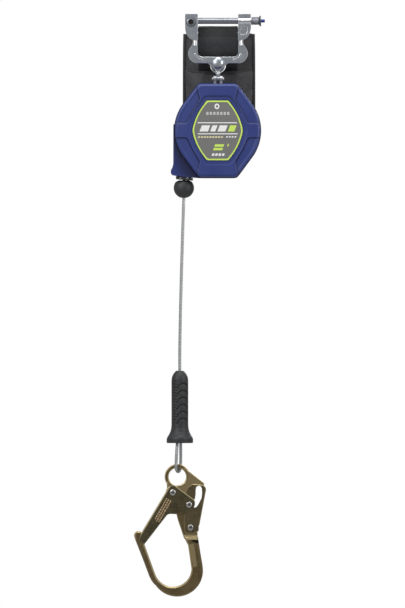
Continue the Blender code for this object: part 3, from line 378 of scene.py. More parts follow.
CAST = cast_aluminium()
STEEL = turned_steel()
KNOB = turned_steel("knurled_aluminium", (0.27, 0.28, 0.31), (1, 20, 20))
PLATED = plain_steel("plated_steel_finish", (0.42, 0.43, 0.45))
RIVET = plain_steel("rivet_finish", (0.58, 0.57, 0.54), (0.2, 0.35))
INNER = plain_steel("inner_steel", (0.30, 0.31, 0.32))
BRASS = plain_steel("bronze_bush", (0.45, 0.30, 0.12))
BRONZE = chromated_steel("yellow_chromate", (0.215, 0.160, 0.080), (0.165, 0.12, 0.055), (0.12, 0.085, 0.04),
                         (0.55, 0.44, 0.24), HOOK_BANDS)
OLIVE = chromated_steel("olive_chromate", (0.112, 0.094, 0.052), (0.080, 0.069, 0.037), (0.17, 0.145, 0.08),
                        (0.66, 0.55, 0.33), GATE_BANDS)
LEVER_BRONZE = chromated_steel("darker_chromate", (0.150, 0.118, 0.062), (0.11, 0.088, 0.045),
                               (0.20, 0.16, 0.09), (0.52, 0.42, 0.24))
BUTTON_BLUE = plain_steel("blued_button", (0.06, 0.09, 0.30))
STAMPED = printed("stamped_mark", (0.55, 0.38, 0.21), 0.45)
# Near-black for discs that stand in for the shade deep in hollows: painted shade.
RECESS_SHADOW = moulded_black("painted_recess_shadow", (0.010, 0.010, 0.010))
BLUE = housing_plastic()
RUBBER = moulded_black("black_rubber_finish")
GUIDE = moulded_black("black_plastic", (0.018, 0.018, 0.02), (0.35, 0.5))
WEBBING = webbing()
CLOTH = pouch_cloth()
TAPE = edge_tape()
THREAD = thread()
WIRE = wire_rope()
PLATE_GREY = printed("label_plate_grey", (0.165, 0.165, 0.16), 0.42)
LIME = printed("lime_print", (0.58, 0.78, 0.13), 0.4)
WHITE = printed("white_print", (0.82, 0.82, 0.82), 0.4)
PALE = printed("pale_print", (0.80, 0.74, 0.42), 0.4)
PLATE_MARK = printed("faint_print", (0.50, 0.50, 0.50), 0.4)


# ---- mesh helpers --------------------------------------------------------------------------
def add_object(name, data):
    obj = bpy.data.objects.new(name, data)
    bpy.context.scene.collection.objects.link(obj)
    return obj


def grid_object(name, points, closed_rows=True, close_first=False, close_last=False):
    """A mesh from rows of points (mm): rows by columns by 3. The ends can be closed by fans."""
    rows, columns = points.shape[:2]
    verts = [tuple(point) for point in points.reshape(-1, 3) * MM]
    faces = []
    wrap = columns if closed_rows else columns - 1
    for row in range(rows - 1):
        for column in range(wrap):
            after = (column + 1) % columns
            faces.append((row * columns + column, row * columns + after,
                          (row + 1) * columns + after, (row + 1) * columns + column))
    for wanted, row, flip in ((close_first, 0, True), (close_last, rows - 1, False)):
        if wanted:
            ring = [row * columns + column for column in range(columns)]
            centre = len(verts)
            verts.append(tuple(points[row].mean(axis=0) * MM))
            for column in range(columns):
                pair = (ring[column], ring[(column + 1) % columns])
                faces.append((*pair[::-1], centre) if flip else (*pair, centre))
    mesh = bpy.data.meshes.new(name)
    mesh.from_pydata(verts, [], faces)
    return add_object(name, mesh)


def weld(mesh, distance):
    """Merges points closer than distance millimetres."""
    bm = bmesh.new()
    bm.from_mesh(mesh)
    bmesh.ops.remove_doubles(bm, verts=bm.verts, dist=distance * MM)
    bm.to_mesh(mesh)
    bm.free()


def outward(obj):
    """Turns the faces of closed bodies outwards."""
    bm = bmesh.new()
    bm.from_mesh(obj.data)
    bmesh.ops.recalc_face_normals(bm, faces=bm.faces)
    bm.to_mesh(obj.data)
    bm.free()
    return obj


def mesh_points(mesh):
    """A mesh's points in millimetres."""
    values = np.empty(3 * len(mesh.vertices))
    mesh.vertices.foreach_get("co", values)
    return values.reshape(-1, 3) / MM


def paint(obj, name, values):
    layer = obj.data.attributes.new(name, "FLOAT", "POINT")
    layer.data.foreach_set("value", np.asarray(values, dtype=np.float32).ravel())


def paint_faces(obj, name, value_of):
    """Stores a number on every face, from its normal and its centre in millimetres."""
    layer = obj.data.attributes.new(name, "FLOAT", "FACE")
    for face, stored in zip(obj.data.polygons, layer.data):
        stored.value = value_of(face.normal, face.center / MM)
    return obj


def slanted(normal):
    """True on bevels: faces that look neither straight ahead nor straight sideways."""
    return 0.12 < abs(normal.y) < 0.965


def baked(obj):
    """The object's mesh with its modifiers applied."""
    bpy.context.view_layer.update()
    return bpy.data.meshes.new_from_object(obj.evaluated_get(bpy.context.evaluated_depsgraph_get()))


def settle(obj):
    """Applies an object's modifiers."""
    mesh = baked(obj)
    obj.modifiers.clear()
    obj.data = mesh
    return obj


def health(mesh):
    """How many edges don't join exactly two faces, and the volume in cubic millimetres."""
    bm = bmesh.new()
    bm.from_mesh(mesh)
    gaps = sum(len(edge.link_faces) != 2 for edge in bm.edges)
    volume = bm.calc_volume(signed=True) / MM ** 3
    bm.free()
    return gaps, volume


def triangulated(mesh):
    made = mesh.copy()
    bm = bmesh.new()
    bm.from_mesh(made)
    bmesh.ops.triangulate(bm, faces=bm.faces)
    bm.to_mesh(made)
    bm.free()
    return made


def merge(obj, *others, operation="UNION"):
    """Joins or cuts closed pieces. A result that isn't closed is made again from triangles, or nudged."""
    sign = 1 if operation == "UNION" else -1
    for other in others:
        whole, best = health(obj.data)[1], None
        forms = ((obj.data, other.data), (triangulated(obj.data), triangulated(other.data)))
        for nudge, form in ((0.0, 0), (0.0, 1), (0.011, 0), (0.011, 1), (-0.023, 0), (-0.023, 1)):
            obj.data, other.data = forms[form]
            other.location = Vector((1.0, 0.7, 1.3)) * nudge * MM
            modifier = obj.modifiers.new("shape", "BOOLEAN")
            modifier.operation, modifier.solver, modifier.object = operation, "EXACT", other
            mesh = baked(obj)
            obj.modifiers.clear()
            gaps, volume = health(mesh)
            wrong = volume <= 0 or sign * (volume - whole) < -0.001 * whole
            if best is None or (wrong, gaps) < best[0]:
                best = (wrong, gaps), mesh
            if best[0] == (False, 0):
                break
        obj.data = best[1]
        bpy.data.objects.remove(other, do_unlink=True)
    return obj


def cut(obj, *others):
    return merge(obj, *others, operation="DIFFERENCE")


def soften(obj, width, segments=2, angle=35):
    bevel = obj.modifiers.new("edges", "BEVEL")
    bevel.width = width * MM
    bevel.segments = segments
    bevel.limit_method = "ANGLE"
    bevel.angle_limit = math.radians(angle)
    return obj


def smooth(obj, angle=35):
    """Smooth shading that keeps sharp edges and leaves flat faces flat."""
    obj.data.shade_smooth()
    obj.data.set_sharp_from_angle(angle=math.radians(angle))
    weighted = obj.modifiers.new("flat_faces", "WEIGHTED_NORMAL")
    weighted.keep_sharp = True
    return obj


def box(name, low, high):
    low, high = Vector(low) * MM, Vector(high) * MM
    bm = bmesh.new()
    bmesh.ops.create_cube(bm, size=1.0)
    bmesh.ops.scale(bm, vec=high - low, verts=bm.verts)
    bmesh.ops.translate(bm, vec=(low + high) / 2, verts=bm.verts)
    mesh = bpy.data.meshes.new(name)
    bm.to_mesh(mesh)
    bm.free()
    return add_object(name, mesh)


def axis_frame(origin, axis):
    turn = Vector(axis).to_track_quat("Z", "Y").to_matrix().to_4x4()
    return Matrix.Translation(Vector(origin)) @ turn


def lathe(name, profile, origin, axis=(0, 0, 1), steps=64, closed=False, relief=None):
    """Turns (radius, height) points round an axis. relief(angle, height) adds to the radius."""
    angles = np.linspace(0, 2 * math.pi, steps, endpoint=False)
    rows = []
    for radius, height in profile:
        reach = np.full(steps, float(radius))
        if relief is not None:
            reach = reach + relief(angles, height, radius)
        rows.append(np.stack([reach * np.cos(angles), reach * np.sin(angles),
                              np.full(steps, float(height))], axis=1))
    if closed:
        rows.append(rows[0])
    matrix = np.array(axis_frame(origin, axis))
    points = np.array(rows) @ matrix[:3, :3].T + matrix[:3, 3]
    obj = grid_object(name, points, True, not closed, not closed)
    if closed:
        weld(obj.data, SEAM)
    return outward(obj)


def rod(name, start, end, radius, steps=32):
    start, end = Vector(start), Vector(end)
    return lathe(name, [(radius, 0), (radius, (end - start).length)], start, end - start, steps)


def plate(name, outlines, near, far, rounding=0.0, segments=3, facing="front"):
    """Extrudes flat outlines: (X, Z) from Y near to far, or (Y, Z) from X near to far."""
    curve = bpy.data.curves.new(name, "CURVE")
    curve.dimensions = "2D"
    curve.fill_mode = "BOTH"
    curve.extrude = (far - near) / 2 * MM
    for outline in outlines:
        spline = curve.splines.new("POLY")
        spline.points.add(len(outline) - 1)
        for point, (across, up) in zip(spline.points, outline):
            point.co = (across * MM, up * MM, 0.0, 1.0)
        spline.use_cyclic_u = True
    helper = add_object(name + "_curve", curve)
    bpy.context.view_layer.update()
    mesh = bpy.data.meshes.new_from_object(helper.evaluated_get(bpy.context.evaluated_depsgraph_get()))
    middle = (near + far) / 2 * MM
    if facing == "front":
        mesh.transform(Matrix.Translation((0, middle, 0)) @ Matrix.Rotation(math.pi / 2, 4, "X"))
    else:
        turn = Matrix.Rotation(math.pi / 2, 4, "Z") @ Matrix.Rotation(math.pi / 2, 4, "X")
        mesh.transform(Matrix.Translation((middle, 0, 0)) @ turn)
    bpy.data.objects.remove(helper, do_unlink=True)
    bm = bmesh.new()
    bm.from_mesh(mesh)
    bmesh.ops.remove_doubles(bm, verts=bm.verts, dist=(0.05 if rounding else 0.002) * MM)
    bmesh.ops.dissolve_limit(bm, angle_limit=0.002, verts=bm.verts, edges=bm.edges)
    bm.to_mesh(mesh)
    bm.free()
    obj = add_object(name, mesh)
    if not rounding:
        return obj
    plain, whole = obj.data.copy(), health(obj.data)[1]
    for width in (rounding, 0.7 * rounding, 0.5 * rounding, 0.3 * rounding):
        obj.data = plain.copy()
        settle(soften(obj, width, segments))
        gaps, volume = health(obj.data)
        if gaps == 0 and 0.88 * whole < volume < whole:
            break
    return obj


def arc(centre, radius, start, end, count):
    angles = np.radians(np.linspace(start, end, count + 1))
    return [(centre[0] + radius * math.cos(a), centre[1] + radius * math.sin(a)) for a in angles]


def rounded(outline, radius, count=6):
    """Rounds the corners of a closed outline; radius is one number or one for each corner."""
    size = len(outline)
    radii = radius if hasattr(radius, "__len__") else [radius] * size
    result = []
    for index, corner in enumerate(outline):
        corner = Vector(corner)
        before = (Vector(outline[index - 1]) - corner)
        after = (Vector(outline[(index + 1) % size]) - corner)
        half = before.angle(after) / 2
        reach = min(radii[index] / math.tan(half), 0.49 * before.length, 0.49 * after.length)
        start, end = corner + before.normalized() * reach, corner + after.normalized() * reach
        for step in range(count + 1):
            t = step / count
            point = (1 - t) ** 2 * start + 2 * t * (1 - t) * corner + t ** 2 * end
            result.append((point.x, point.y))
    return result


def smooth_route(points, step):
    """Points about step apart on a Catmull-Rom curve through the given ones."""
    points = [Vector(point) for point in points]
    ends = [2 * points[0] - points[1]] + points + [2 * points[-1] - points[-2]]
    route = []
    for a, b, c, d in zip(ends, ends[1:], ends[2:], ends[3:]):
        count = max(1, round((c - b).length / step))
        for index in range(count):
            t = index / count
            route.append(0.5 * (2 * b + (c - a) * t + (2 * a - 5 * b + 4 * c - d) * t ** 2
                                + (3 * b - a - 3 * c + d) * t ** 3))
    return route + [points[-1]]


def sweep(name, route, section):
    """Carries a closed section round a route. section(share, distance) gives (N, 2) offsets."""
    route = [Vector(point) for point in route]
    length = sum((b - a).length for a, b in zip(route, route[1:]))
    side, travelled, rows = None, 0.0, []
    for index, point in enumerate(route):
        before, after = route[max(index - 1, 0)], route[min(index + 1, len(route) - 1)]
        ahead = (after - before).normalized()
        if side is None:
            side = ahead.cross(Vector((0, 1, 0))).normalized()
        side = (side - ahead * side.dot(ahead)).normalized()
        up = ahead.cross(side)
        offsets = section(travelled / length, travelled)
        rows.append([point + side * x + up * y for x, y in offsets])
        travelled += (after - point).length
    points = np.array([[tuple(point) for point in row] for row in rows])
    return outward(grid_object(name, points, True, True, True))


def strands(radius, lay):
    """The section of a stranded cable, turning once in each lay of its length."""
    angles = np.linspace(0, 2 * math.pi, STRAND_SIDES, endpoint=False)

    def section(_, distance):
        turn = 2 * math.pi * distance / lay
        lobes = np.abs(np.sin(STRANDS * (angles - turn) / 2))
        wires = 0.04 * np.abs(np.sin(STRANDS * 2.5 * (angles + 1.3 * turn)))
        reach = radius * (0.80 + 0.16 * lobes + wires)
        return np.stack([reach * np.cos(angles), reach * np.sin(angles)], axis=1)
    return section


def cable_piece(name, route, radius=CABLE_RADIUS, lay=38.0):
    obj = sweep(name, route, strands(radius, lay))
    points = mesh_points(obj.data)
    rows = np.repeat(np.array([tuple(point) for point in route]), STRAND_SIDES, axis=0)
    reach = np.linalg.norm(points[:len(rows)] - rows, axis=1)
    # Painted shade: points sunk between the strands are darkened.
    painted_shade = np.zeros(len(points))
    painted_shade[:len(rows)] = np.clip((0.90 * radius - reach) / (0.10 * radius), 0, 1)
    paint(obj, "painted_shade", painted_shade)
    return smooth(obj, 80)


def show(obj, material, body, slot, *nodes):
    """Gives a piece its material and its body, and hides the CAD nodes it stands for; the slot is not used."""
    if material is not None:
        obj.data.materials.clear()
        obj.data.materials.append(material)
    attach(obj, body)
    if nodes:
        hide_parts(*nodes)
    return obj


# ---- camera, light and floor ---------------------------------------------------------------
VIEW_CENTRE = Vector((-27.7, 0.0, -506.6)) * MM
VIEW_HEIGHT = 1.088
CAMERA_DISTANCE = 24.0
FLOOR_Z = -2.92
AMBIENT = 0.36


def build_camera():
    camera = bpy.data.cameras.new("camera")
    camera.sensor_fit = "VERTICAL"
    camera.sensor_height = 24.0
    camera.lens = camera.sensor_height * CAMERA_DISTANCE / VIEW_HEIGHT
    camera.clip_end = 100.0
    obj = add_object("camera", camera)
    obj.location = VIEW_CENTRE + Vector((0, -CAMERA_DISTANCE, 0))
    obj.rotation_euler = (math.radians(90), 0, 0)
    bpy.context.scene.camera = obj


def build_light():
    world = bpy.data.worlds.new("studio")
    bpy.context.scene.world = world
    world.use_nodes = True
    tree = world.node_tree
    background = tree.nodes["Background"]
    background.inputs["Color"].default_value = (1.0, 1.0, 1.0, 1.0)
    seen = tree.nodes.new("ShaderNodeLightPath")
    strength = tree.nodes.new("ShaderNodeMapRange")
    strength.inputs["To Min"].default_value = AMBIENT
    strength.inputs["To Max"].default_value = 1.0
    tree.links.new(seen.outputs["Is Camera Ray"], strength.inputs["Value"])
    tree.links.new(strength.outputs["Result"], background.inputs["Strength"])
    bpy.context.scene.view_settings.view_transform = "Standard"
    lamps = (("key", (-1.5, -1.7, 0.7), (1.4, 1.4), 26), ("fill", (1.7, -1.2, 0.2), (0.5, 1.2), 12),
             ("top", (0.1, -0.6, 1.4), (1.6, 1.0), 20), ("back", (0.6, 1.8, 0.5), (1.2, 1.2), 16))
    for name, place, size, power in lamps:
        light = bpy.data.lights.new(name, "AREA")
        light.shape = "RECTANGLE"
        light.size, light.size_y = size
        light.energy = power
        obj = add_object(name, light)
        obj.location = place
        obj.rotation_euler = (Vector((0, 0, -0.45)) - Vector(place)).to_track_quat("-Z", "Y").to_euler()


def build_floor():
    bm = bmesh.new()
    bmesh.ops.create_circle(bm, cap_ends=True, segments=96, radius=2.2)
    bmesh.ops.translate(bm, vec=(0, 0, FLOOR_Z), verts=bm.verts)
    mesh = bpy.data.meshes.new("floor")
    bm.to_mesh(mesh)
    bm.free()
    floor = add_object("floor", mesh)
    paint_finish = Finish("pale_floor", (0.86, 0.86, 0.86), 0.8)
    paint_finish.rough(paint_finish.noise(60.0), 0.75, 0.9)
    mesh.materials.append(paint_finish.material)


# ---- line: rope, ball and grip ----------------------------------------------------------------
EYE_X, EYE_BEND_Z, EYE_BEND_RADIUS, EYE_TURN = -71.0, -796.3, 10.5, 67.0
SWAGE_LOW = cad_box("swage_sleeve")[0]


def eye_point(across, along_z):
    """A point of the cable's eye, whose plane is turned about the vertical, as in the CAD."""
    angle = math.radians(EYE_TURN)
    lean = (along_z - SWAGE_LOW[2]) / (EYE_BEND_Z - SWAGE_LOW[2])
    middle = GRIP_X + (EYE_X - GRIP_X) * lean
    return (middle + across * math.cos(angle), across * math.sin(angle), along_z)


def eye_route():
    side = [(3.1, SWAGE_LOW[2] - 0.3), (3.5, -715.0), (6.8, -745.0), (9.6, -775.0)]
    left = [eye_point(-across, z) for across, z in side]
    bend = [eye_point(across, z) for across, z in
            arc((0, EYE_BEND_Z), EYE_BEND_RADIUS, 180, 360, 14)]
    right = [eye_point(across, z) for across, z in reversed(side)]
    return left + bend + right


def build_rope():
    route = smooth_route(CABLE_ROUTE, 1.6)
    cable = show(cable_piece("cable_rope", route), WIRE, "line", "wire_rope", "cable")
    eye = cable_piece("cable_eye_rope", smooth_route(eye_route(), 1.4), lay=34.0)
    show(eye, WIRE, "line", "wire_rope", "cable_eye")
    low, high = cad_box("cable_run")
    count = 40
    inner = [Vector((LINE_X, 0, high[2] + (low[2] - high[2]) * step / count)) for step in range(count + 1)]
    run = cable_piece("cable_inside", inner)
    run.data.materials.append(WIRE)
    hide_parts("cable_run")
    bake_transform(run)


def build_ball():
    top, bottom = BALL_HIGH[2], BALL_LOW[2]
    centre = bottom + 17.7
    outer = [(5.6, top + 1.1), (9.4, top + 1.1), (10.0, top + 0.6)]
    start = math.asin((top - 1.4 - centre) / BALL_RADIUS)
    end = math.asin((bottom - centre) / BALL_RADIUS)
    for step in range(49):
        angle = start + (end - start) * step / 48
        seam = 0.22 * math.exp(-(BALL_RADIUS * angle / 0.5) ** 2)
        outer.append(((BALL_RADIUS - seam) * math.cos(angle), centre + BALL_RADIUS * math.sin(angle)))
    ferrule_low, ferrule_high = cad_box("stop_ferrule")
    inner = [(3.9, bottom), (3.3, bottom + 0.6), (3.3, ferrule_low[2] - GAP), (4.7, ferrule_low[2] - GAP),
             (4.7, ferrule_high[2] + GAP), (3.3, ferrule_high[2] + GAP), (3.3, top)]
    ball = lathe("ball", outer + inner, (LINE_X, 0, 0), steps=72, closed=True)
    show(smooth(ball, 40), RUBBER, "line", "black_rubber", "ball_stop")


def grip_relief(angles, height, radius):
    """Arched grooves on one side of the grip and short slits on the other, front and back."""
    relief = np.zeros(len(angles))
    if radius < 13.5:
        return relief
    for turn in (0.0, math.pi):
        facing = (angles + math.pi / 2 + turn + math.pi) % (2 * math.pi) - math.pi
        for index in range(6):
            peak = -649.2 - 12.5 * index
            crest = peak - 6.0 * np.abs((facing - 0.50) / 0.72) ** 2.2
            inside = np.clip((0.98 - np.abs(facing - 0.52)) / 0.15, 0, 1)
            relief -= 1.3 * inside * np.exp(-((height - crest) / 1.35) ** 2)
        for index in range(14):
            middle = -645.0 - 5.3 * index - 4.0 * (facing + 0.66)
            inside = np.clip((0.36 - np.abs(facing + 0.66)) / 0.10, 0, 1)
            relief -= 0.9 * inside * np.exp(-((height - middle) / 0.75) ** 2)
    return relief


def build_grip():
    top, bottom = GRIP_HIGH[2], GRIP_LOW[2]
    flare = (GRIP_HIGH[0] - GRIP_LOW[0]) / 2
    keys = [(6.4, top), (7.6, top - 0.6), (8.6, top - 2.0), (11.2, top - 5.0), (13.6, top - 9.5),
            (14.7, top - 14.0), (15.0, top - 18.0), (15.0, -722.0), (15.5, -729.0), (17.2, -735.5),
            (20.0, -741.0), (22.6, -745.0), (flare, -748.0), (flare, bottom + 1.2), (flare - 0.5, bottom + 0.3),
            (flare - 1.2, bottom)]
    outer = []
    for (r0, z0), (r1, z1) in zip(keys, keys[1:]):
        count = max(1, round(abs(z1 - z0) / 0.6))
        outer += [(r0 + (r1 - r0) * step / count, z0 + (z1 - z0) * step / count) for step in range(count)]
    outer.append(keys[-1])
    inner = [(20.5, bottom), (16.0, -742.0), (11.2, -730.0), (11.2, -650.0), (3.4, -648.0), (3.4, top)]
    grip = lathe("grip", outer + inner, (GRIP_X, 0, 0), steps=144, closed=True, relief=grip_relief)
    points = mesh_points(grip.data)
    x, y, z = points[:, 0] - GRIP_X, points[:, 1], points[:, 2]
    # Painted shade: the grooves are darkened.
    grooves = -grip_relief(np.arctan2(y, x), z, 15.0) * (np.hypot(x, y) > 13.0)
    paint(grip, "painted_shade", np.clip(grooves / 0.7, 0, 1))
    show(smooth(grip, 50), RUBBER, "line", "black_rubber", "cable_grip")


# ---- housing -------------------------------------------------------------------------------
TOP_HALF_WIDTH = 34.0
SIDE_RADIUS, SIDE_CENTRE, SIDE_ANGLE = 79.0, 2.5, 38.3
AROUND = 576


def barrel_reach(angles, inset):
    """The distance from the housing's centre to its outline, moved inwards by inset."""
    sine, cosine = np.abs(np.sin(angles)), np.abs(np.cos(angles))
    level = (HALF_HEIGHT - inset) / np.maximum(sine, 1e-6)
    side = SIDE_RADIUS - inset
    bow = -SIDE_CENTRE * cosine + np.sqrt((SIDE_CENTRE * cosine) ** 2 + side ** 2 - SIDE_CENTRE ** 2)
    corner = np.radians(SIDE_ANGLE)
    end = np.array([SIDE_RADIUS * math.cos(corner) - SIDE_CENTRE, SIDE_RADIUS * math.sin(corner)])
    top = np.array([TOP_HALF_WIDTH, HALF_HEIGHT])
    along = (top - end) / np.linalg.norm(top - end)
    normal = np.array([along[1], -along[0]])
    slope = (end @ normal - inset) / np.maximum(normal[0] * cosine + normal[1] * sine, 1e-6)
    power = 46.0
    straight = (level ** -power + slope ** -power) ** (-1 / power)
    return np.where(sine < cosine * end[1] / end[0], bow, straight)


def barrel_outline(inset):
    angles = np.linspace(0, 2 * math.pi, 160, endpoint=False)
    return [(HOUSING_X + r * math.cos(a), HOUSING_Z + r * math.sin(a))
            for r, a in zip(barrel_reach(angles, inset), angles)]


def polygon_distance(x, z, outline):
    """The signed distance from points to a closed outline, negative inside."""
    outline = np.array(outline)
    nearest = np.full(x.shape, 1e9)
    inside = np.zeros(x.shape, dtype=bool)
    for (ax, az), (bx, bz) in zip(outline, np.roll(outline, -1, axis=0)):
        dx, dz = bx - ax, bz - az
        if math.hypot(dx, dz) < 1e-6:
            continue
        share = np.clip(((x - ax) * dx + (z - az) * dz) / (dx * dx + dz * dz), 0, 1)
        nearest = np.minimum(nearest, np.hypot(x - ax - share * dx, z - az - share * dz))
        if abs(dz) > 1e-9:
            crosses = (az > z) != (bz > z)
            inside ^= crosses & (x < ax + (z - az) * dx / dz)
    return np.where(inside, -nearest, nearest)


def fade(distance, width):
    """1 well inside an outline and 0 outside, with a smooth wall of that width."""
    share = np.clip(0.5 - distance / width, 0, 1)
    return share * share * (3 - 2 * share)


def label_outline(shrink=0.0):
    half = [(19.5 - 0.6 * shrink, LABEL_HALF_HEIGHT - shrink)]
    for x, z in ((30.5, 38.5), (38.5, 24.0), (43.5, 9.5), (LABEL_HALF_WIDTH, 0), (43.5, -9.5),
                 (38.5, -24.0), (30.5, -38.5)):
        half.append((x - shrink, z))
    half.append((19.5 - 0.6 * shrink, shrink - LABEL_HALF_HEIGHT))
    whole = half + [(-x, z) for x, z in reversed(half)]
    radii = [5.0 if abs(z) > 45 else 60.0 for _, z in whole]
    return rounded(whole, radii, 6)


QUADRANT = ((74.0, 12.6), (54.5, 12.6), (44.0, 35.0), (31.5, 56.0), (35.2, 70.0), (38.0, 92.0),
            (110.0, 92.0), (110.0, 12.6))


def quadrant_distance(x, z):
    outline = rounded(QUADRANT, [3.0, 7.0, 30.0, 5.0, 12.0, 1.0, 1.0, 1.0], 5)
    return polygon_distance(np.abs(x), np.abs(z), outline)


def face_height(x, z):
    """How far the front face lies behind the frontmost plane, at (X, Z) from the centre."""
    crown = 1.3 * (np.abs(z) / HALF_HEIGHT) ** 2.2 + 1.5 * (np.abs(x) / SIDE_RADIUS) ** 2.2
    panel = 2.4 * fade(quadrant_distance(x, z), 1.8)
    label = polygon_distance(x, z, label_outline())
    basin = 1.0 * fade(label - 7.5, 5.0)
    seat = 0.5 * fade(label - 0.7, 0.8)
    return np.where(label < 1.5, 1.0 + seat, crown * np.clip(label / 9.0, 0, 1) + panel + basin)


def front_shade(points):
    """Painted shade: dark lines at the foot of the panels' walls and round the label, a dark band above the label's
    top, and side walls darkening towards the back.
    """
    x, z = points[:, 0] - HOUSING_X, points[:, 2] - HOUSING_Z
    panel = quadrant_distance(x, z)
    label = polygon_distance(x, z, label_outline())
    groove = np.exp(-((panel + 0.9) / 1.15) ** 2) + 0.9 * np.exp(-((label - 0.8) / 0.9) ** 2)
    upper = 0.55 * np.exp(-((label - 7.0) / 2.2) ** 2) * np.clip((z - 25.0) / 20.0, 0, 1)
    rim = np.clip((points[:, 1] - (FRONT_FACE + 8.0)) / 10.0, 0, 1) * 0.45
    return np.clip(0.85 * groove + upper + rim, 0, 1)


# Painted highlight: a bright line along the front rim, stronger towards the upper right, and lighter lines along the
# panels' edges.
def front_highlight(points):
    x, z = points[:, 0] - HOUSING_X, points[:, 2] - HOUSING_Z
    panel = quadrant_distance(x, z)
    radius = np.hypot(x, z)
    edge = barrel_reach(np.arctan2(z, x), 0.0) - radius
    front = points[:, 1] < FRONT_FACE + 9.0
    bright = np.exp(-((edge - 2.6) / 1.1) ** 2) * front * np.clip(0.5 + (x + z) / 120.0, 0, 1)
    return np.clip(0.5 * np.exp(-((panel - 1.0) / 0.8) ** 2) + 0.9 * bright, 0, 1)


def ring_rows(inset_heights, height_of=None, shrink=0.0):
    """Rows of points round the housing for (inset, Y) pairs, with relief on the face if wanted."""
    angles = np.linspace(0, 2 * math.pi, AROUND, endpoint=False)
    rows = []
    for inset, y in inset_heights:
        reach = barrel_reach(angles, inset + shrink)
        x, z = reach * np.cos(angles), reach * np.sin(angles)
        depth = y + (height_of(x, z, inset) if height_of else 0.0 * x)
        rows.append(np.stack([HOUSING_X + x, depth, HOUSING_Z + z], axis=1))
    return rows


def two_sided(name, outer, inner):
    """A shell of two skins that share an open rim at their first rows."""
    skins = [grid_object(name + part, np.array(rows), True, False, True) for part, rows in
             (("_out", outer), ("_in", inner))]
    offset = len(skins[0].data.vertices)
    verts = [tuple(v.co) for skin in skins for v in skin.data.vertices]
    faces = [tuple(p.vertices) for p in skins[0].data.polygons]
    faces += [tuple(offset + i for i in reversed(p.vertices)) for p in skins[1].data.polygons]
    for column in range(AROUND):
        after = (column + 1) % AROUND
        faces.append((column, offset + column, offset + after, after))
    for skin in skins:
        bpy.data.objects.remove(skin, do_unlink=True)
    mesh = bpy.data.meshes.new(name)
    mesh.from_pydata(verts, [], faces)
    return outward(add_object(name, mesh))


def quarter(radius, count):
    """(inset, rise) pairs round a quarter circle from a wall onto a face."""
    angles = np.linspace(0, math.pi / 2, count + 1)
    return [(radius * (1 - math.cos(a)), radius * (1 - math.sin(a))) for a in angles]


def build_front_shell():
    edge = 7.0
    profile = [(0.5, PARTING - 0.1), (0.0, PARTING - 0.7)]
    profile += [(0.0, y) for y in np.linspace(PARTING - 2.5, FRONT_FACE + edge + 1.5, 8)]
    profile += [(inset, FRONT_FACE + rise) for inset, rise in quarter(edge, 12)]
    profile += [(inset, FRONT_FACE) for inset in np.linspace(edge + 0.7, 76.0, 96)]
    outer = ring_rows(profile, lambda x, z, inset: face_height(x, z) * min(1.0, inset / edge))
    inside = [(0.0, PARTING - 0.1), (0.0, FRONT_FACE + 12.0), (3.0, FRONT_FACE + 8.0),
              (8.0, FRONT_FACE + 7.0), (60.0, FRONT_FACE + 7.0)]
    inner = ring_rows(inside, shrink=3.0)
    shell = two_sided("front_shell", outer, inner)
    cut(shell, box("front_slot", (-8.8, -8.5, -120), (8.8, 5, -100)))
    points = mesh_points(shell.data)
    # Painted shade in grooves and on side walls, and painted highlight along the rim and the panels' edges.
    paint(shell, "painted_shade", front_shade(points))
    paint(shell, "wear_and_highlight", front_highlight(points))
    show(smooth(shell, 50), BLUE, "housing", "housing_blue", "front_cover")


def lobe_outline():
    points = [(-79.8, -185.0), (-80.0, -200.0), (-80.0, -256.0), (-81.5, -262.0), (-84.3, -267.5),
              (-84.7, -271.5), (-83.2, -274.8), (-80.4, -276.4), (-60.0, -279.2), (-34.0, -281.4),
              (-20.0, -281.4), (-20.0, -185.0)]
    return rounded(points, [1.0, 40.0, 12.0, 12.0, 6.0, 6.0, 4.0, 4.0, 30.0, 30.0, 1.0, 1.0], 5)


def rear_height(x, z):
    """Relief of the back: a round rim in the middle, and a sunk field crossed by six ribs."""
    radius = np.hypot(x, z)
    angle = np.arctan2(z, x)
    pad = fade(np.abs(radius - 37.5) - 1.2, 1.2) * 0.9
    ribs = fade(np.abs(np.sin(3 * angle)) * radius / 3 - 1.6, 1.4) * fade(np.abs(radius - 53.0) - 13.0, 3.0)
    field = fade(np.abs(radius - 53.0) - 14.0, 2.5)
    return 1.6 * field * (1 - ribs) + pad


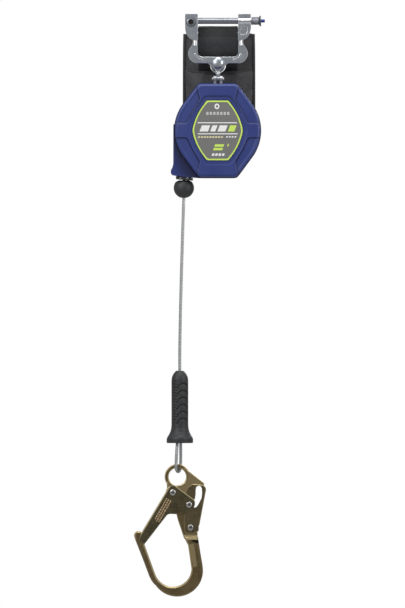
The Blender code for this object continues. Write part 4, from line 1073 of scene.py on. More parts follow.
def build_rear_shell():
    edge, grow = 14.0, 1.5
    profile = [(0.4, PARTING + 0.3), (0.0, PARTING + 0.9)]
    profile += [(0.0, y) for y in np.linspace(PARTING + 3.0, REAR_FACE - edge - 1.5, 8)]
    profile += [(inset, REAR_FACE - rise) for inset, rise in quarter(edge, 14)]
    profile += [(inset, REAR_FACE) for inset in np.linspace(edge + 1.0, 77.0, 78)]
    outer = ring_rows(profile, lambda x, z, inset: -rear_height(x, z) * (inset > 8.0), -grow)
    inside = [(0.0, PARTING + 0.3), (0.0, REAR_FACE - 14.0), (5.0, REAR_FACE - 6.0), (12.0, REAR_FACE - 4.8),
              (60.0, REAR_FACE - 4.8)]
    inner = ring_rows(inside, shrink=1.8)
    shell = two_sided("rear_shell", outer, inner)
    lobe = plate("lobe", [lobe_outline()], -18.0, 20.5, 2.8, 4)
    cut(lobe, plate("cover_room", [barrel_outline(-1.2)], -60.0, PARTING + GAP),
        box("trim", (-30, -60, -300), (0, PARTING, -150)))
    cut(lobe, plate("core_room", [barrel_outline(2.2)], PARTING - 5.0, 40.0))
    merge(shell, lobe)
    guide_low, guide_high = cad_box("cable_guide")
    cut(shell, box("guide_seat", (-74.3, -14.3, -290), (-46.7, 14.3, guide_high[2] + GAP)))
    cut(shell, box("rear_slot", (-8.8, -8, -120), (8.8, 8.5, -100)))
    cut(shell, rod("cable_way", (LINE_X, 0, -275), (LINE_X, 0, -215), CABLE_RADIUS + 1.2))
    for index in range(4):
        low, high = cad_box(f"cover_screw_{index + 1}")
        x, z = (low[0] + high[0]) / 2, (low[2] + high[2]) / 2
        cut(shell, rod(f"screw_well{index}", (x, 25.0, z), (x, 45.0, z), 4.4))
    points = mesh_points(shell.data)
    x, z = points[:, 0] - HOUSING_X, points[:, 2] - HOUSING_Z
    # Painted shade along the parting seam and round the front cover, and in the back's sunk field.
    gap = np.hypot(x, z) - barrel_reach(np.arctan2(z, x), -1.2)
    seam = np.exp(-(gap / 1.6) ** 2) * (points[:, 1] < PARTING) + np.exp(-((points[:, 1] - PARTING) / 0.8) ** 2)
    hollow = np.clip(rear_height(x, z) / 2.0, 0, 1) * (points[:, 1] > 25.0)
    paint(shell, "painted_shade", np.clip(seam + 0.35 * hollow, 0, 1))
    paint(shell, "wear_and_highlight", 0.0 * x)
    show(smooth(shell, 40), BLUE, "housing", "housing_blue", "rear_cover")


# ---- label --------------------------------------------------------------------------------
LABEL_FACE = FRONT_FACE + 0.9


def mark(name, outlines, material):
    piece = plate(name, outlines, LABEL_FACE - 0.22, LABEL_FACE + 0.2)
    return show(piece, material, "housing", "label_grey")


def bar(left, right, low, high, lean=0.0):
    """A slanted bar: (X, Z) from the pin's centre."""
    return [(left, low), (right, low), (right + lean, high), (left + lean, high)]


def build_label():
    def placed(outline):
        return [(HOUSING_X + x, HOUSING_Z + z) for x, z in outline]
    sheet = plate("label_sheet", [placed(label_outline(0.3))], LABEL_FACE, LABEL_FACE + 0.8, 0.15, 1)
    show(smooth(sheet), PLATE_GREY, "housing", "label_grey", "front_label")
    mark("label_border", [placed(label_outline(0.4)), placed(label_outline(3.1))], LIME)
    mark("label_rules", [bar(-36.5, 34.0, -183.6, -181.9), bar(-36.0, 35.2, -203.4, -201.7)], WHITE)
    widths = ((-33.0, 15.0), (-14.0, 9.0), (-1.0, 14.0))
    mark("label_bars", [bar(x, x + width, -198.4, -187.4, 4.2) for x, width in widths], WHITE)
    mark("label_bar_lime", [bar(17.5, 29.0, -198.4, -187.4, 4.2)], LIME)
    mark("label_dashes_pale", [bar(x, x + 3.4, -209.6, -207.0, 1.0) for x in np.arange(-36.0, 8.0, 5.1)], PALE)
    mark("label_dashes", [bar(x, x + 3.2, -209.2, -206.8, 1.0) for x in np.arange(14.0, 33.0, 5.0)], WHITE)
    mark("label_block", [bar(-9.0, 7.5, -232.0, -227.6, 1.7), bar(-6.9, 9.6, -225.6, -221.2, 1.7)], LIME)
    mark("label_tick", [bar(16.0, 18.4, -225.0, -220.6, 1.6)], LIME)
    mark("label_dashes_low", [bar(x, x + 4.2, -242.0, -237.6, 1.4) for x in np.arange(-11.5, 11.0, 6.0)], WHITE)
    mark("label_dashes_top", [bar(x, x + 4.2, -168.8, -163.4) for x in np.arange(-21.0, 18.0, 6.2)], PLATE_MARK)
    turns = np.linspace(0, 2 * math.pi, 40)[:-1]
    rings = [[(-1.9 + wide * math.cos(a), -153.5 + high * math.sin(a)) for a in turns]
             for wide, high in ((4.4, 5.0), (2.0, 2.4))]
    mark("label_ring", rings, WHITE)


# ---- connector ----------------------------------------------------------------------------
PIN_LOW, PIN_HIGH = cad_box("connector_pin")
BOSS_RADIUS, BOSS_Z = 12.2, -75.2
BEND_X, BEND_Z = 27.5, -55.3            # centre of the frame's inner corners
STUD_HEAD = [(AXIS, -76.6), (8.2, -76.6), (8.6, -77.2), (8.4, -79.8), (7.0, -83.0),
             (5.0, -86.0), (4.3, -87.8), (4.2, -89.3), (AXIS, -89.4)]


def build_connector():
    outer = [(45.0, -18.0), (45.0, -40.0), (47.5, -45.0), (51.5, -51.0), (53.5, -57.0),
             (53.0, -63.0), (50.0, -69.0), (45.0, -73.5), (38.5, -76.0), (16.0, -76.0)]
    inner = [(-36.5, -18.0), (-36.5, BEND_Z)] + arc((-BEND_X, BEND_Z), 9.0, 180, 270, 10)[1:]
    inner += arc((BEND_X, BEND_Z), 9.0, 270, 360, 10) + [(36.5, -18.0)]
    radii = [1.0] + [9.0] * 8 + [20.0]
    ends = rounded(outer + [(-x, z) for x, z in reversed(outer)] + inner,
                   radii + radii[::-1] + [1.0] + [0.5] * (len(inner) - 2) + [1.0], 4)
    frame = plate("connector_forging", [ends], -7.0, 7.0, 2.0, 1)
    for side in (-1, 1):
        half = [(36.0, 12.5), (59.0, 12.5), (59.0, -14.0), (57.0, -22.0), (53.5, -28.5), (49.0, -32.5),
                (42.0, -35.0), (36.0, -35.0)]
        outline = rounded([(side * x, z) for x, z in half], [2.2, 2.2, 14.0, 12.0, 12.0, 10.0, 8.0, 0.5], 4)
        merge(frame, plate(f"lug{side}", [outline], -12.0, 21.0, 2.0, 3))
        strip = arc((side * BEND_X, BEND_Z), 15.6, 270, 270 + side * 78, 12)
        strip += arc((side * BEND_X, BEND_Z), 12.6, 270 + side * 78, 270, 12)
        merge(frame, plate(f"strip{side}", [strip], -8.0, 8.0, 0.7, 2))
        neck = rod(f"neck{side}", (side * 40.6, -6.2, -33.0), (side * 40.9, -6.2, -44.0), 3.4)
        merge(frame, neck)
    boss = lathe("boss", [(max(BOSS_RADIUS * math.cos(a), AXIS), 4.0 * np.sign(a) + 8.2 * math.sin(a))
                          for a in np.radians(np.linspace(90, -90, 49))], (0, 0, BOSS_Z), (0, 1, 0), 72)
    web = [(-24.0, -72.0), (24.0, -72.0), (20.0, -75.2), (14.6, -78.8), (3.4, -90.8),
           (-3.4, -90.8), (-14.6, -78.8), (-20.0, -75.2)]
    ring = lathe("eye_ring", [(13.1 + 1.45 * math.cos(a), 5.0 * np.sign(math.sin(a)) * abs(math.sin(a)) ** 0.6)
                              for a in np.linspace(0, 2 * math.pi, 21)[:-1]],
                 (0, 0, -79.7), (0, 1, 0), 72, True)
    collar = rod("eye_collar", (0, 0, -95.2), (0, 0, -90.4), 4.4)
    merge(frame, plate("eye_web", [web], -6.0, 6.0, 1.9, 3), boss)
    for start, end, radius in ((36.5, 59.4, 5.8), (36.5, 38.6, 6.5), (57.3, 59.4, 6.5)):
        merge(frame, rod("pin_band", (start, -9, -0.8), (end, -9, -0.8), radius, 48))
    merge(frame, ring, collar)
    room = [(r + 0.6 if r > 1 else r, z - 0.3 if z < -80 else z + 0.3) for r, z in STUD_HEAD]
    cut(frame, lathe("stud_room", room, (0, 0, 0), steps=56))
    cut(frame, rod("swivel_bore", (0, 0, -97), (0, 0, -84.0), 2.8))
    cut(frame, rod("pin_bore", (-56.0, 0, 0), (70, 0, 0), 5.9, 48))
    low, high = cad_box("absorber_bar")
    middle = (low + high) / 2
    cut(frame, rod("bar_bore", (-50, middle[1], middle[2]), (50, middle[1], middle[2]), 4.3))
    cut(frame, rod("insert_bore", (-48.3, -20, -2.3), (-48.3, -8.6, -2.3), 9.0, 48))
    pocket = [(42.5, -9.6), (52.5, -9.6), (53.6, -17.0), (50.5, -24.4), (39.5, -25.0), (39.0, -19.0)]
    cut(frame, plate("lug_pocket", [rounded(pocket, 2.0)], -16.0, -10.7, 0.6, 2))

    # Painted highlight on the front bevels, away from the boss.
    def wear_and_highlight(normal, place):
        on_boss = math.hypot(place.x, place.z - BOSS_Z) < 12.0
        return 0.9 if slanted(normal) and place.y < 0 and not on_boss else 0.0
    paint_faces(frame, "wear_and_highlight", wear_and_highlight)
    show(smooth(frame, 34), CAST, "connector", "anodised_aluminium", "connector_frame")

    low, high = cad_box("lug_insert")
    centre = (low + high) / 2
    insert = lathe("hex_insert", [(AXIS, low[1]), (6.2, low[1]), (7.3, low[1] + 0.4), (8.0, low[1] + 1.4),
                                  (8.0, high[1]), (AXIS, high[1])], (centre[0], 0, centre[2]), (0, 1, 0), 64)
    hexagon = [(centre[0] + 5.2 * math.cos(math.radians(60 * k + 30)),
                centre[2] + 5.2 * math.sin(math.radians(60 * k + 30))) for k in range(6)]
    cut(insert, plate("hex_socket", [hexagon], low[1] - 4.0, low[1] + 5.4))
    show(smooth(insert), STEEL, "connector", "plated_steel", "lug_insert")
    # A dark disc on the socket's floor as painted shade.
    show(plate("hex_floor", [hexagon], low[1] + 4.2, low[1] + 5.3), RECESS_SHADOW, "connector", "plated_steel")


def knurl(angles, height, radius):
    if radius < 6.6 or radius > 7.2:
        return np.zeros(len(angles))
    return 0.42 * np.abs(np.sin(13 * angles + 1.7 * height)) * np.abs(np.sin(13 * angles - 1.7 * height)) - 0.25


def build_pin():
    left, right = PIN_LOW[0], PIN_HIGH[0]
    profile = [(AXIS, left), (4.0, left), (5.5, left + 2.0), (5.5, left + 9.0), (5.1, left + 9.4),
               (5.1, left + 10.8), (5.5, left + 11.2), (5.5, right - 0.8), (4.9, right), (AXIS, right)]
    pin = lathe("pin_shank", profile, (0, 0, 0), (1, 0, 0), 64)
    show(smooth(pin), STEEL, "pin", "plated_steel", "connector_pin")
    low, high = cad_box("pin_knob")
    flange = (high[2] - low[2]) / 2
    outer = [(4.3, low[0]), (6.2, low[0]), (6.9, low[0] + 0.7)]
    outer += [(6.9, x) for x in np.arange(low[0] + 1.0, high[0] - 4.6, 0.3)]
    outer += [(6.4, high[0] - 4.3), (7.6, high[0] - 3.7), (flange - 0.6, high[0] - 1.9), (flange, high[0] - 1.4),
              (flange, high[0] - 0.5), (flange - 0.5, high[0]), (4.4, high[0]), (4.4, high[0] - 0.3)]
    knob = lathe("knurled_knob", outer, (0, 0, 0), (1, 0, 0), 156, True, knurl)
    show(smooth(knob, 30), KNOB, "pin", "knob_aluminium", "pin_knob")
    low, high = cad_box("lock_button")
    button = lathe("button_cap", [(AXIS, low[0]), (1.7, low[0]), (1.7, 71.0), (3.9, 71.0), (3.9, 73.8),
                                  (2.9, 73.9), (2.9, high[0] - 1.0), (2.2, high[0]), (AXIS, high[0])],
                   (0, 0, 0), (1, 0, 0), 40)
    show(smooth(button), BUTTON_BLUE, "button", "plated_steel", "lock_button")


def build_swivel():
    profile = STUD_HEAD[:-1] + [(2.5, -89.6), (2.5, -99.0), (AXIS, -99.0)]
    stud = lathe("swivel_pin", profile, (0, 0, 0), steps=56)
    tongue = box("tongue", (-2.6, -5.2, -104.7), (2.6, 5.2, -96.6))
    merge(stud, settle(soften(tongue, 0.8, 3)), rod("tongue_eye", (-2.6, 0, -104.7), (2.6, 0, -104.7), 6.8, 48))
    cut(stud, rod("tongue_bore", (-5, 0, -104.7), (5, 0, -104.7), 3.3))
    show(smooth(stud), STEEL, "swivel", "plated_steel", "swivel_stud")


# ---- energy absorber: strap and pouch --------------------------------------------------------
BAR_LOW, BAR_HIGH = cad_box("absorber_bar")
BAR_Y, BAR_Z = (BAR_LOW[1] + BAR_HIGH[1]) / 2, (BAR_LOW[2] + BAR_HIGH[2]) / 2
STRAP_LOW, STRAP_HIGH = cad_box("absorber_strap")
STRAP_PLY = 2.4


def ribbon(name, route, left, right, thickness, ripple=0.0, rows_across=49):
    """A flat web: a YZ route given thickness, running from X left to right."""
    route = [Vector((0.0, *point)) for point in route]
    across = np.linspace(left, right, rows_across)
    middle, half = (left + right) / 2, (right - left) / 2
    skins = []
    for index, point in enumerate(route):
        ahead = route[min(index + 1, len(route) - 1)] - route[max(index - 1, 0)]
        normal = Vector((0, ahead.z, -ahead.y)).normalized()
        row = []
        for sign in (1, -1):
            for x in (across if sign == 1 else across[::-1]):
                edge = 1.0 - 0.75 * max(0.0, (abs(x - middle) - half + 1.2) / 1.2) ** 2
                wobble = ripple * noise.noise(Vector((x * 0.035, point.y * 0.03, point.z * 0.05)))
                place = point + normal * (sign * thickness / 2 * edge + wobble)
                row.append((x, place.y, place.z))
        skins.append(row)
    return outward(grid_object(name, np.array(skins), True, True, True))


def stitches(name, points, length=3.0, gap=1.6, radius=0.42):
    """A row of short raised threads along a line of points."""
    route = smooth_route(points, 1.0)
    travelled, spans, current = 0.0, [], [route[0]]
    for before, after in zip(route, route[1:]):
        travelled += (after - before).length
        if travelled < length:
            current.append(after)
        elif current:
            spans.append(current)
            current = []
        if travelled >= length + gap:
            travelled, current = 0.0, [after]
    pieces = bmesh.new()
    for span in spans:
        if len(span) < 2:
            continue
        middle, half = (span[0] + span[-1]) / 2, (span[-1] - span[0]) / 2
        made = bmesh.ops.create_uvsphere(pieces, u_segments=8, v_segments=6, radius=1.0)
        turn = half.to_track_quat("Z", "Y").to_matrix().to_4x4()
        size = Matrix.Diagonal((radius, radius, half.length + radius, 1.0))
        bmesh.ops.transform(pieces, matrix=Matrix.Translation(middle) @ turn @ size, verts=made["verts"])
    bmesh.ops.scale(pieces, vec=(MM, MM, MM), verts=pieces.verts)
    mesh = bpy.data.meshes.new(name)
    pieces.to_mesh(mesh)
    pieces.free()
    return show(smooth(add_object(name, mesh), 80), THREAD, "absorber", "binding_tape")


def build_strap():
    loop = 4.0 + GAP + STRAP_PLY / 2 + 0.4
    front = [(56.4, -117.0), (56.0, -102.0), (51.5, -89.5), (37.0, -77.5), (23.0, -66.0), (18.6, -56.0),
             (16.2, -46.5), (11.6, -38.0), (8.9, -28.0), (BAR_Y - loop, BAR_Z)]
    over = arc((BAR_Y, BAR_Z), loop, 180, 0, 12)[1:]
    back = [(19.3, -27.0), (17.2, -38.0), (19.6, -46.0), (21.8, -55.0), (26.4, -63.6), (39.6, -74.6),
            (53.8, -87.0), (58.6, -101.0), (58.8, -117.0)]
    rough = [Vector((0, *point)) for point in front + over + back]
    route = [(point.y, point.z) for point in smooth_route(rough, 1.5)]
    half = (STRAP_HIGH[0] - STRAP_LOW[0]) / 2
    strap = ribbon("strap", route, -half, half, STRAP_PLY, 0.5)
    show(smooth(strap, 60), WEBBING, "absorber", "black_webbing", "absorber_strap")
    for side in (-1, 1):
        x = side * (half - 3.6)
        line = [(x, 14.0 - loop - STRAP_PLY / 2 - 0.1, -17.0), (x, 7.6, -28.0), (x, 10.2, -38.0),
                (x, 14.9, -47.0)]
        stitches(f"strap_stitches_{'left' if side < 0 else 'right'}", line)


POUCH_MOUTH = -88.0
POUCH_BACK = POUCH_HIGH[1]


def pouch_front(u, v):
    """The pocket's front before the cloth settles: u runs left to right and v from bottom to mouth."""
    left, right = POUCH_LOW[0] + 1.0, POUCH_HIGH[0] - 1.0
    x = left + (right - left) * u
    bottom = POUCH_LOW[2] + 1.5
    corner = 9.0 * np.maximum(0, 1 - np.minimum(u, 1 - u) / 0.09) ** 2
    low = bottom + corner
    sag = 3.0 * (1 - (2 * u - 1) ** 2)
    z = low + (POUCH_MOUTH - sag - low) * v
    across = np.clip(np.minimum(u, 1 - u) / 0.14, 0, 1)
    up = np.clip(v / 0.12, 0, 1)
    swell = (across * (2 - across)) ** 0.8 * (up * (2 - up)) ** 0.8
    depth = (POUCH_BACK - 4.6) - swell * (13.2 - 1.5 * v)
    return np.stack([x, depth, z], axis=-1)


def settle_cloth(obj, pins, frames=20, pressure=4.0, cap=5.0):
    """Lets a cloth settle under a little pressure, and limits how far any point may move."""
    before = mesh_points(obj.data)
    group = obj.vertex_groups.new(name="pins")
    for index, weight in enumerate(pins):
        if weight > 0:
            group.add([index], float(weight), "REPLACE")
    cloth = obj.modifiers.new("cloth", "CLOTH")
    cloth.settings.quality = 6
    cloth.settings.mass = 0.25
    cloth.settings.tension_stiffness = 12.0
    cloth.settings.compression_stiffness = 12.0
    cloth.settings.bending_stiffness = 0.6
    cloth.settings.vertex_group_mass = "pins"
    cloth.settings.use_pressure = True
    cloth.settings.uniform_pressure_force = pressure
    cloth.settings.effector_weights.gravity = 0.0
    cloth.settings.shrink_min = -0.02
    cloth.collision_settings.use_collision = False
    cloth.point_cache.frame_start = 1
    cloth.point_cache.frame_end = frames
    for frame_number in range(1, frames + 1):
        bpy.context.scene.frame_set(frame_number)
    moved = mesh_points(baked(obj)) - before
    reach = np.linalg.norm(moved, axis=1, keepdims=True)
    after = before + moved * np.minimum(1.0, cap / np.maximum(reach, 1e-6))
    obj.modifiers.clear()
    obj.data.vertices.foreach_set("co", (after * MM).ravel())
    obj.data.update()
    bpy.context.scene.frame_set(1)
    return obj


def build_pouch():
    columns, rows = 73, 81
    u, v = np.meshgrid(np.linspace(0, 1, columns), np.linspace(0, 1, rows))
    points = pouch_front(u, v)
    for row in range(rows):
        for column in range(columns):
            x, _, z = points[row, column]
            crease = noise.noise(Vector((x * 0.045, 3.0, z * 0.03))) + 0.6 * noise.noise(
                Vector((x * 0.02 + z * 0.05, 8.0, z * 0.11)))
            points[row, column, 1] += 1.1 * crease * min(1.0, 4 * min(u[row, column], 1 - u[row, column]))
    pocket = grid_object("pouch_pocket", points, closed_rows=False)
    pins = ((u < 0.001) | (u > 0.999) | (v < 0.001)).astype(float).ravel()
    settle_cloth(pocket, pins)
    solid = pocket.modifiers.new("thickness", "SOLIDIFY")
    solid.thickness = 1.8 * MM
    solid.offset = 1.0
    settle(pocket)
    smoother = pocket.modifiers.new("smooth", "SUBSURF")
    smoother.levels = smoother.render_levels = 1
    settle(outward(pocket))
    show(smooth(pocket, 70), CLOTH, "absorber", "pouch_fabric", "absorber_pouch", "absorber_pack")

    # The mouth's hem: a folded tape along the pocket's top edge.
    front = mesh_points(pocket.data)
    rim = front[front[:, 2] > POUCH_MOUTH - 9.0]
    hem_route = []
    for x in np.linspace(POUCH_LOW[0] + 2.0, POUCH_HIGH[0] - 2.0, 33):
        near = rim[np.abs(rim[:, 0] - x) < 3.0]
        top = near[:, 2].max()
        edge = near[near[:, 2] > top - 1.0]
        hem_route.append((x, edge[:, 1].mean(), top - 2.2))
    hem = sweep("pouch_hem", smooth_route(hem_route, 1.5), flat_section(2.9, 1.55))
    show(smooth(hem, 60), TAPE, "absorber", "binding_tape")
    stitches("hem_stitches", [(x, y - 1.75, z - 1.2) for x, y, z in hem_route[1:-1]], 2.6, 1.5, 0.35)


def flat_section(wide, thick):
    """A tape's section: a rounded flat shape, wide along the sweep's second direction."""
    angles = np.linspace(0, 2 * math.pi, 28, endpoint=False)

    def section(_, distance):
        x = np.sign(np.cos(angles)) * np.abs(np.cos(angles)) ** 0.6 * wide
        y = np.sign(np.sin(angles)) * np.abs(np.sin(angles)) ** 0.8 * thick
        return np.stack([x, y], axis=1)
    return section


def build_pouch_back():
    left, right, top, bottom = POUCH_LOW[0] + 0.6, POUCH_HIGH[0] - 0.6, POUCH_HIGH[2], POUCH_LOW[2]
    columns, rows = 65, 97
    u, v = np.meshgrid(np.linspace(0, 1, columns), np.linspace(0, 1, rows))
    x, z = left + (right - left) * u, bottom + 2.0 + (top - bottom - 2.0) * v
    y = np.full(x.shape, POUCH_BACK - 2.4)
    for row in range(rows):
        for column in range(columns):
            y[row, column] += 0.8 * noise.noise(Vector((x[row, column] * 0.03, 1.0, z[row, column] * 0.022)))
    back = grid_object("pouch_back", np.stack([x, y, z], axis=-1), closed_rows=False)
    solid = back.modifiers.new("thickness", "SOLIDIFY")
    solid.thickness = 2.6 * MM
    solid.offset = 0.0
    settle(back)
    settle(soften(outward(back), 0.8, 2, 60))
    show(smooth(back, 50), CLOTH, "absorber", "pouch_fabric")
    for node, side in (("left_binding", -1), ("right_binding", 1)):
        low, high = cad_box(node)
        x = (low[0] + high[0]) / 2
        edge = side * 1.2
        route = [(x - 0.6 * side, POUCH_BACK - 2.4, top - 1.0), (x, POUCH_BACK - 2.4, -60.0),
                 (x + 0.2 * side, POUCH_BACK - 2.6, -130.0), (x, POUCH_BACK - 2.6, -190.0),
                 (x - 2.2 * side, POUCH_BACK - 3.0, -212.0), (x - 8.5 * side, POUCH_BACK - 3.4, bottom + 3.0),
                 (x - 18.0 * side, POUCH_BACK - 3.6, bottom + 1.4)]
        piping = sweep(node + "_tape", smooth_route(route, 2.0), flat_section(2.9, 2.3))
        show(smooth(piping, 60), TAPE, "absorber", "binding_tape", node)
        line = [(x - 2.0 * side - edge, POUCH_BACK - 5.4, z) for z in (top - 4.0, -60.0)]
        stitches(node + "_stitches", line, 2.6, 1.5, 0.35)
    hem = box("pouch_top_hem", (left - 0.2, POUCH_BACK - 4.6, top - 7.5), (right + 0.2, POUCH_BACK - 0.2, top))
    settle(soften(hem, 1.6, 4))
    show(smooth(hem, 50), TAPE, "absorber", "binding_tape")


# ---- hook -----------------------------------------------------------------------------------
PLATE_HALF, BOW_HALF = 5.0, 7.0
LEVER_INNER, LEVER_OUTER, GATE_INNER, GATE_OUTER = 5.4, 6.9, 7.3, 8.9
GATE_PIVOT, TAIL_RIVET, LEVER_PIVOT = (-8.2, -28.1), (21.1, -49.9), (23.6, -90.8)
EYE_OUTER, EYE_INNER, EYE_HALF = 22.7, 15.6, 3.8
BOWL = (-8.0, -163.5)


def bow_outline():
    """The thick lower hook: spine, bowl and the arm up to the nose."""
    outer = [(10.9, -107.4), (36.8, -105.5), (38.5, -118.0), (41.3, -136.4), (44.8, -156.0)]
    outer += arc((-0.5, -168.0), 46.4, 8, -145, 32)
    outer += [(-43.2, -190.2), (-47.1, -184.4), (-50.6, -177.0), (-61.5, -148.0), (-75.6, -112.0)]
    nose = arc((-69.8, -104.9), 7.7, 200, -10, 16)
    inner = [(-58.5, -122.0), (-40.8, -171.0)] + arc(BOWL, 33.3, 203, 358, 32)
    inner += [(23.2, -150.0), (19.3, -122.8), (13.5, -111.3)]
    return outer + nose + inner


def hook_wear_and_highlight(normal, place):
    """Bright bowl edge, rims and step, partly wear and partly painted highlight, and a paler upper plate."""
    x, z = place.x - HOOK_X, place.z - HOOK_Z
    if slanted(normal):
        inward = normal.x * (BOWL[0] - x) + normal.z * (BOWL[1] + 20.0 - z)
        return 1.0 if inward > 0 or z > -114.0 else 0.15
    if abs(normal.y) > 0.97 and z > -60 and abs(abs(place.y) - PLATE_HALF) < 0.3:
        return 0.42
    in_recess = 19.0 < x < 36.0 and -164.0 < z < -118.6 and abs(place.y) < BOW_HALF - 0.3
    return 0.55 if in_recess and abs(normal.y) > 0.97 else 0.0


# Painted shade in the notches at the spine's step.
def hook_shade(normal, place):
    x, z = place.x - HOOK_X, place.z - HOOK_Z
    return 1.0 if 21.0 < x < 39.0 and -120.2 < z < -112.4 and 1 < abs(place.y) < BOW_HALF - 0.3 else 0.0


def build_hook_forging():
    body = plate("hook_forging", [hook_place(bow_outline())], -BOW_HALF, BOW_HALF, 3.0, 1)
    left = [(-19.0, -10.0), (-18.5, -24.0), (-17.0, -40.0), (-9.0, -54.0), (-2.3, -64.0), (0.5, -76.0),
            (10.0, -104.5), (12.5, -112.0), (36.4, -110.0)]
    right = [(36.0, -98.0), (35.5, -86.0), (33.0, -68.0)] + arc(GATE_PIVOT, 40.0, -40, 12, 14)
    horn = [(35.0, -13.0), (47.0, -17.0), (48.6, -12.0), (30.0, 2.6), (12.0, 16.4), (0.0, 12.0)]
    upper = plate("hook_plate", [rounded(hook_place(left + right + horn), 3.0, 3)], -PLATE_HALF, PLATE_HALF, 1.1, 2)
    cut(upper, rod("eye_hole", hook_at((0, 0), -12), hook_at((0, 0), 12), EYE_INNER + 3.2, 72))
    section = [(EYE_OUTER - 1.6, EYE_HALF), (EYE_OUTER - 0.5, EYE_HALF - 0.5), (EYE_OUTER, EYE_HALF - 1.6)]
    bore = [(EYE_INNER + 1.9, EYE_HALF), (EYE_INNER + 0.6, EYE_HALF - 0.6), (EYE_INNER, EYE_HALF - 1.9)]
    profile = bore + [(r, -y) for r, y in reversed(bore)] + [(r, -y) for r, y in section] + section[::-1]
    ring = lathe("hook_ring", profile, hook_at((0, 0), 0), (0, 1, 0), 96, True)
    merge(body, upper, ring)
    for name, place in (("gate", GATE_PIVOT), ("lever", LEVER_PIVOT)):
        cut(body, rod(f"{name}_hole", hook_at(place, -12), hook_at(place, 12), 3.3))
    cut(body, rod("spring_room", hook_at(LEVER_PIVOT, 1.0), hook_at(LEVER_PIVOT, 12), 8.4, 48))
    for side in (-1, 1):
        face = side * BOW_HALF
        wedge = plate(f"ramp{side}", [[(side * 5.0, HOOK_Z - 104.0), (side * 12.0, HOOK_Z - 104.0),
                                       (side * 12.0, HOOK_Z - 112.6), (side * 7.05, HOOK_Z - 112.6)]],
                      HOOK_X + 2.0, HOOK_X + 50.0, facing="side")
        patch = [(20.4, -120.5), (29.6, -119.0), (32.4, -136.0), (35.4, -160.0), (29.0, -163.0), (26.2, -150.0)]
        near, far = sorted((face * 0.9, face * 1.3))
        recess = plate(f"spine_recess{side}", [rounded(hook_place(patch), 2.5)], near, far)
        notch = [(22.0, -113.4), (37.6, -112.0), (38.6, -119.6), (30.0, -117.6)]
        near, far = sorted((face * 0.84, face * 1.3))
        cut(body, wedge, recess, plate(f"notch{side}", [rounded(hook_place(notch), 1.2)], near, far))
    paint_faces(paint_faces(body, "wear_and_highlight", hook_wear_and_highlight), "painted_shade", hook_shade)
    show(smooth(body, 30), BRONZE, "hook", "hook_bronze", "hook_body")


def dashes(name, start, ahead, rows, spacing, length, seed, material, near, far, body, slot, wide=1.15):
    """Rows of short bars along a direction, as a stand-in for stamped marks, that say nothing."""
    start, ahead = Vector(start), Vector(ahead).normalized()
    side = Vector((ahead.y, -ahead.x))
    outlines, step = [], seed
    for row in range(rows):
        travelled = 1.3 * ((row * 7 + seed) % 3)
        while travelled < length:
            step = (step * 5 + 3) % 17
            size = 1.5 + 0.3 * (step % 9)
            corner = start + ahead * travelled + side * (row * spacing)
            outlines.append([tuple(corner), tuple(corner + ahead * size), tuple(corner + ahead * size + side * wide),
                             tuple(corner + side * wide)])
            travelled += size + 1.3
    return show(plate(name, outlines, near, far), material, body, slot)


def build_gate():
    top = arc(GATE_PIVOT, 12.6, 175, 60, 14)
    tail = [(29.7, -40.6), (31.5, -44.5), (31.5, -50.0), (29.7, -55.3), (21.0, -60.5), (12.2, -64.1)]
    lower = [(-2.3, -66.9), (-13.1, -66.4), (-17.9, -67.8), (-58.7, -120.5), (-68.9, -114.2), (-64.4, -100.0)]
    radii = [0.001] * len(top) + [4.0, 4.0, 4.0, 4.0, 8.0, 8.0, 8.0, 6.0, 6.0, 1.2, 1.2, 1.5]
    outline = rounded(hook_place(top + tail + lower), radii, 5)
    gate = plate("gate_channel", [outline], -GATE_OUTER, GATE_OUTER, 0.9, 3)
    room = [(-90.0, -96.0), (-57.8, -96.0), (-54.6, -89.2), (-26.6, -42.0), (-40.0, -36.0), (-40.0, 10.0),
            (60.0, 10.0), (60.0, -140.0), (-90.0, -140.0)]
    for name, place in (("pivot", GATE_PIVOT), ("tail", TAIL_RIVET)):
        cut(gate, rod(f"gate_{name}_hole", hook_at(place, -20), hook_at(place, 20), 3.3))
    cut(gate, plate("gate_room", [hook_place(room)], -GATE_INNER, GATE_INNER))
    # Painted highlight on the gate's bevels.
    paint_faces(gate, "wear_and_highlight", lambda normal, place: 0.5 if slanted(normal) else 0.0)
    show(smooth(gate, 30), OLIVE, "gate", "gate_olive", "hook_gate")
    start = hook_place([(-41.7, -77.0)])[0]
    dashes("gate_marks", start, (24.5, 43.5), 3, 4.1, 44.0, 5, STAMPED, -GATE_OUTER - 0.12, -GATE_OUTER + 0.2,
           "gate", "gate_olive", 2.2)


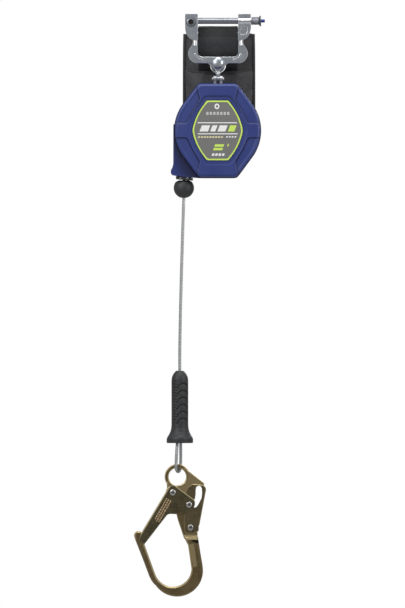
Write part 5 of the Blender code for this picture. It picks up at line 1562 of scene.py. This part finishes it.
def build_lever():
    outline = [(15.0, -27.2), (18.1, -19.3), (26.7, -12.5), (45.1, -14.5), (50.0, -18.0), (51.6, -22.5),
               (39.7, -85.4), (38.5, -88.0), (38.3, -97.0), (30.5, -101.8), (21.8, -103.8), (14.5, -101.0),
               (12.2, -96.0), (12.2, -67.8)]
    radii = [8.0, 8.0, 9.0, 8.0, 6.0, 6.0, 1.5, 1.5, 4.0, 6.0, 8.0, 7.0, 7.0, 2.0]
    lever = plate("lever_channel", [rounded(hook_place(outline), radii, 5)], -LEVER_OUTER, LEVER_OUTER, 1.3, 1)
    room = [(0.0, -150.0), (38.6, -150.0), (38.6, -90.0), (37.0, -85.4), (48.6, -24.0), (56.0, -19.6),
            (56.0, 0.0), (0.0, 0.0)]
    window = arc(GATE_PIVOT, 41.0, -46, 4, 14) + [(33.6, -19.0), (36.2, -16.6), (39.6, -16.0), (42.6, -18.2)]
    window += arc(GATE_PIVOT, 52.4, 8, -12, 6) + [(41.4, -42.0), (38.2, -48.5), (34.0, -54.5)]
    cut(lever, plate("lever_window", [hook_place(window)], -20, 20))
    cut(lever, rod("lever_hole", hook_at(LEVER_PIVOT, -20), hook_at(LEVER_PIVOT, 20), 3.3))
    cut(lever, plate("lever_room", [hook_place(room)], -LEVER_INNER, LEVER_INNER))
    # Painted highlight on the lever's bevels.
    paint_faces(lever, "wear_and_highlight", lambda normal, place: 0.8 if slanted(normal) else 0.0)
    show(smooth(lever, 30), LEVER_BRONZE, "lever", "hook_bronze", "lock_lever")


def rivet_profile(head):
    """A rolled rivet head with a hollow middle, from the axis out to the shank."""
    return [(AXIS, head + 0.3), (1.5, head + 0.3), (1.9, head + 0.9), (2.4, head + 1.5), (3.4, head + 1.65),
            (4.5, head + 1.4), (5.2, head + 0.8), (5.4, head), (3.0, head)]


def rivet_well_shadow(name, origin, axis, y, body):
    """A dark disc at the bottom of a rivet's hollow head, as painted shade."""
    profile = [(AXIS, y - 0.05), (1.35, y - 0.05), (1.45, y), (1.35, y + 0.05), (AXIS, y + 0.05)]
    show(smooth(lathe(name, profile, origin, axis, 24)), RECESS_SHADOW, body, "rivet_steel")


def build_rivets():
    for name, place, channel in (("gate_rivet", GATE_PIVOT, GATE_OUTER), ("lever_rivet", LEVER_PIVOT, LEVER_OUTER)):
        head = channel + GAP
        half = rivet_profile(head)
        piece = lathe(name + "_head", half + [(r, -y) for r, y in reversed(half)], hook_at(place, 0), (0, 1, 0), 48)
        show(smooth(piece), RIVET, "hook", "rivet_steel", name)
        for side in (-1, 1):
            rivet_well_shadow(f"{name}_well{side + 1}", hook_at(place, 0), (0, 1, 0), side * (head + 0.3), "hook")
    for side, name in ((-1, "tail_rivet_front"), (1, "tail_rivet_rear")):
        head = GATE_OUTER + GAP
        profile = rivet_profile(head) + [(3.0, GATE_INNER + 0.1), (AXIS, GATE_INNER + 0.1)]
        piece = lathe(name + "_head", profile, hook_at(TAIL_RIVET, 0), (0, side, 0), 48)
        show(smooth(piece), RIVET, "gate", "rivet_steel", name)
        rivet_well_shadow(name + "_well", hook_at(TAIL_RIVET, 0), (0, side, 0), head + 0.3, "gate")


# ---- CAD pieces that stay, with a better finish --------------------------------------------------
FINISHES = {
    PLATED: ("load_frame", "clevis_pin", "clevis_pin_cap", "roller_pin_left", "roller_pin_right",
             "guide_roller_left", "guide_roller_right", "absorber_bar", "swage_sleeve", "stop_ferrule", "thimble",
             "cover_screw_1", "cover_screw_2", "cover_screw_3", "cover_screw_4"),
    INNER: ("main_shaft", "shaft_nut", "spring_case", "spring_cover", "power_spring", "ratchet_ring",
            "pawl_upper", "pawl_lower", "pawl_pin_upper", "pawl_pin_lower", "button_spring", "gate_spring",
            "lever_spring", "cable_drum", "cable_winding"),
    BRASS: ("drum_bushing",),
    GUIDE: ("cable_guide",),
}
ROUNDED_NODES = {"load_frame": 0.7, "cable_guide": 1.0, "clevis_pin": 0.4, "clevis_pin_cap": 0.4,
                 "guide_roller_left": 0.4, "guide_roller_right": 0.4}


def finish_nodes():
    for material, nodes in FINISHES.items():
        for name in nodes:
            obj = bpy.data.objects[name]
            if obj.data.materials:
                for index in range(len(obj.data.materials)):
                    obj.data.materials[index] = material
            else:
                obj.data.materials.append(material)
            if name in ROUNDED_NODES:
                soften(obj, ROUNDED_NODES[name], 3, 40)


# ---- assembly --------------------------------------------------------------------------------
build_camera()
build_rope()
build_light()
build_floor()
build_ball()
build_grip()
build_front_shell()
build_rear_shell()
build_label()
build_connector()
build_pin()
build_swivel()
build_strap()
build_pouch()
build_pouch_back()
build_hook_forging()
build_gate()
build_lever()
build_rivets()
finish_nodes()
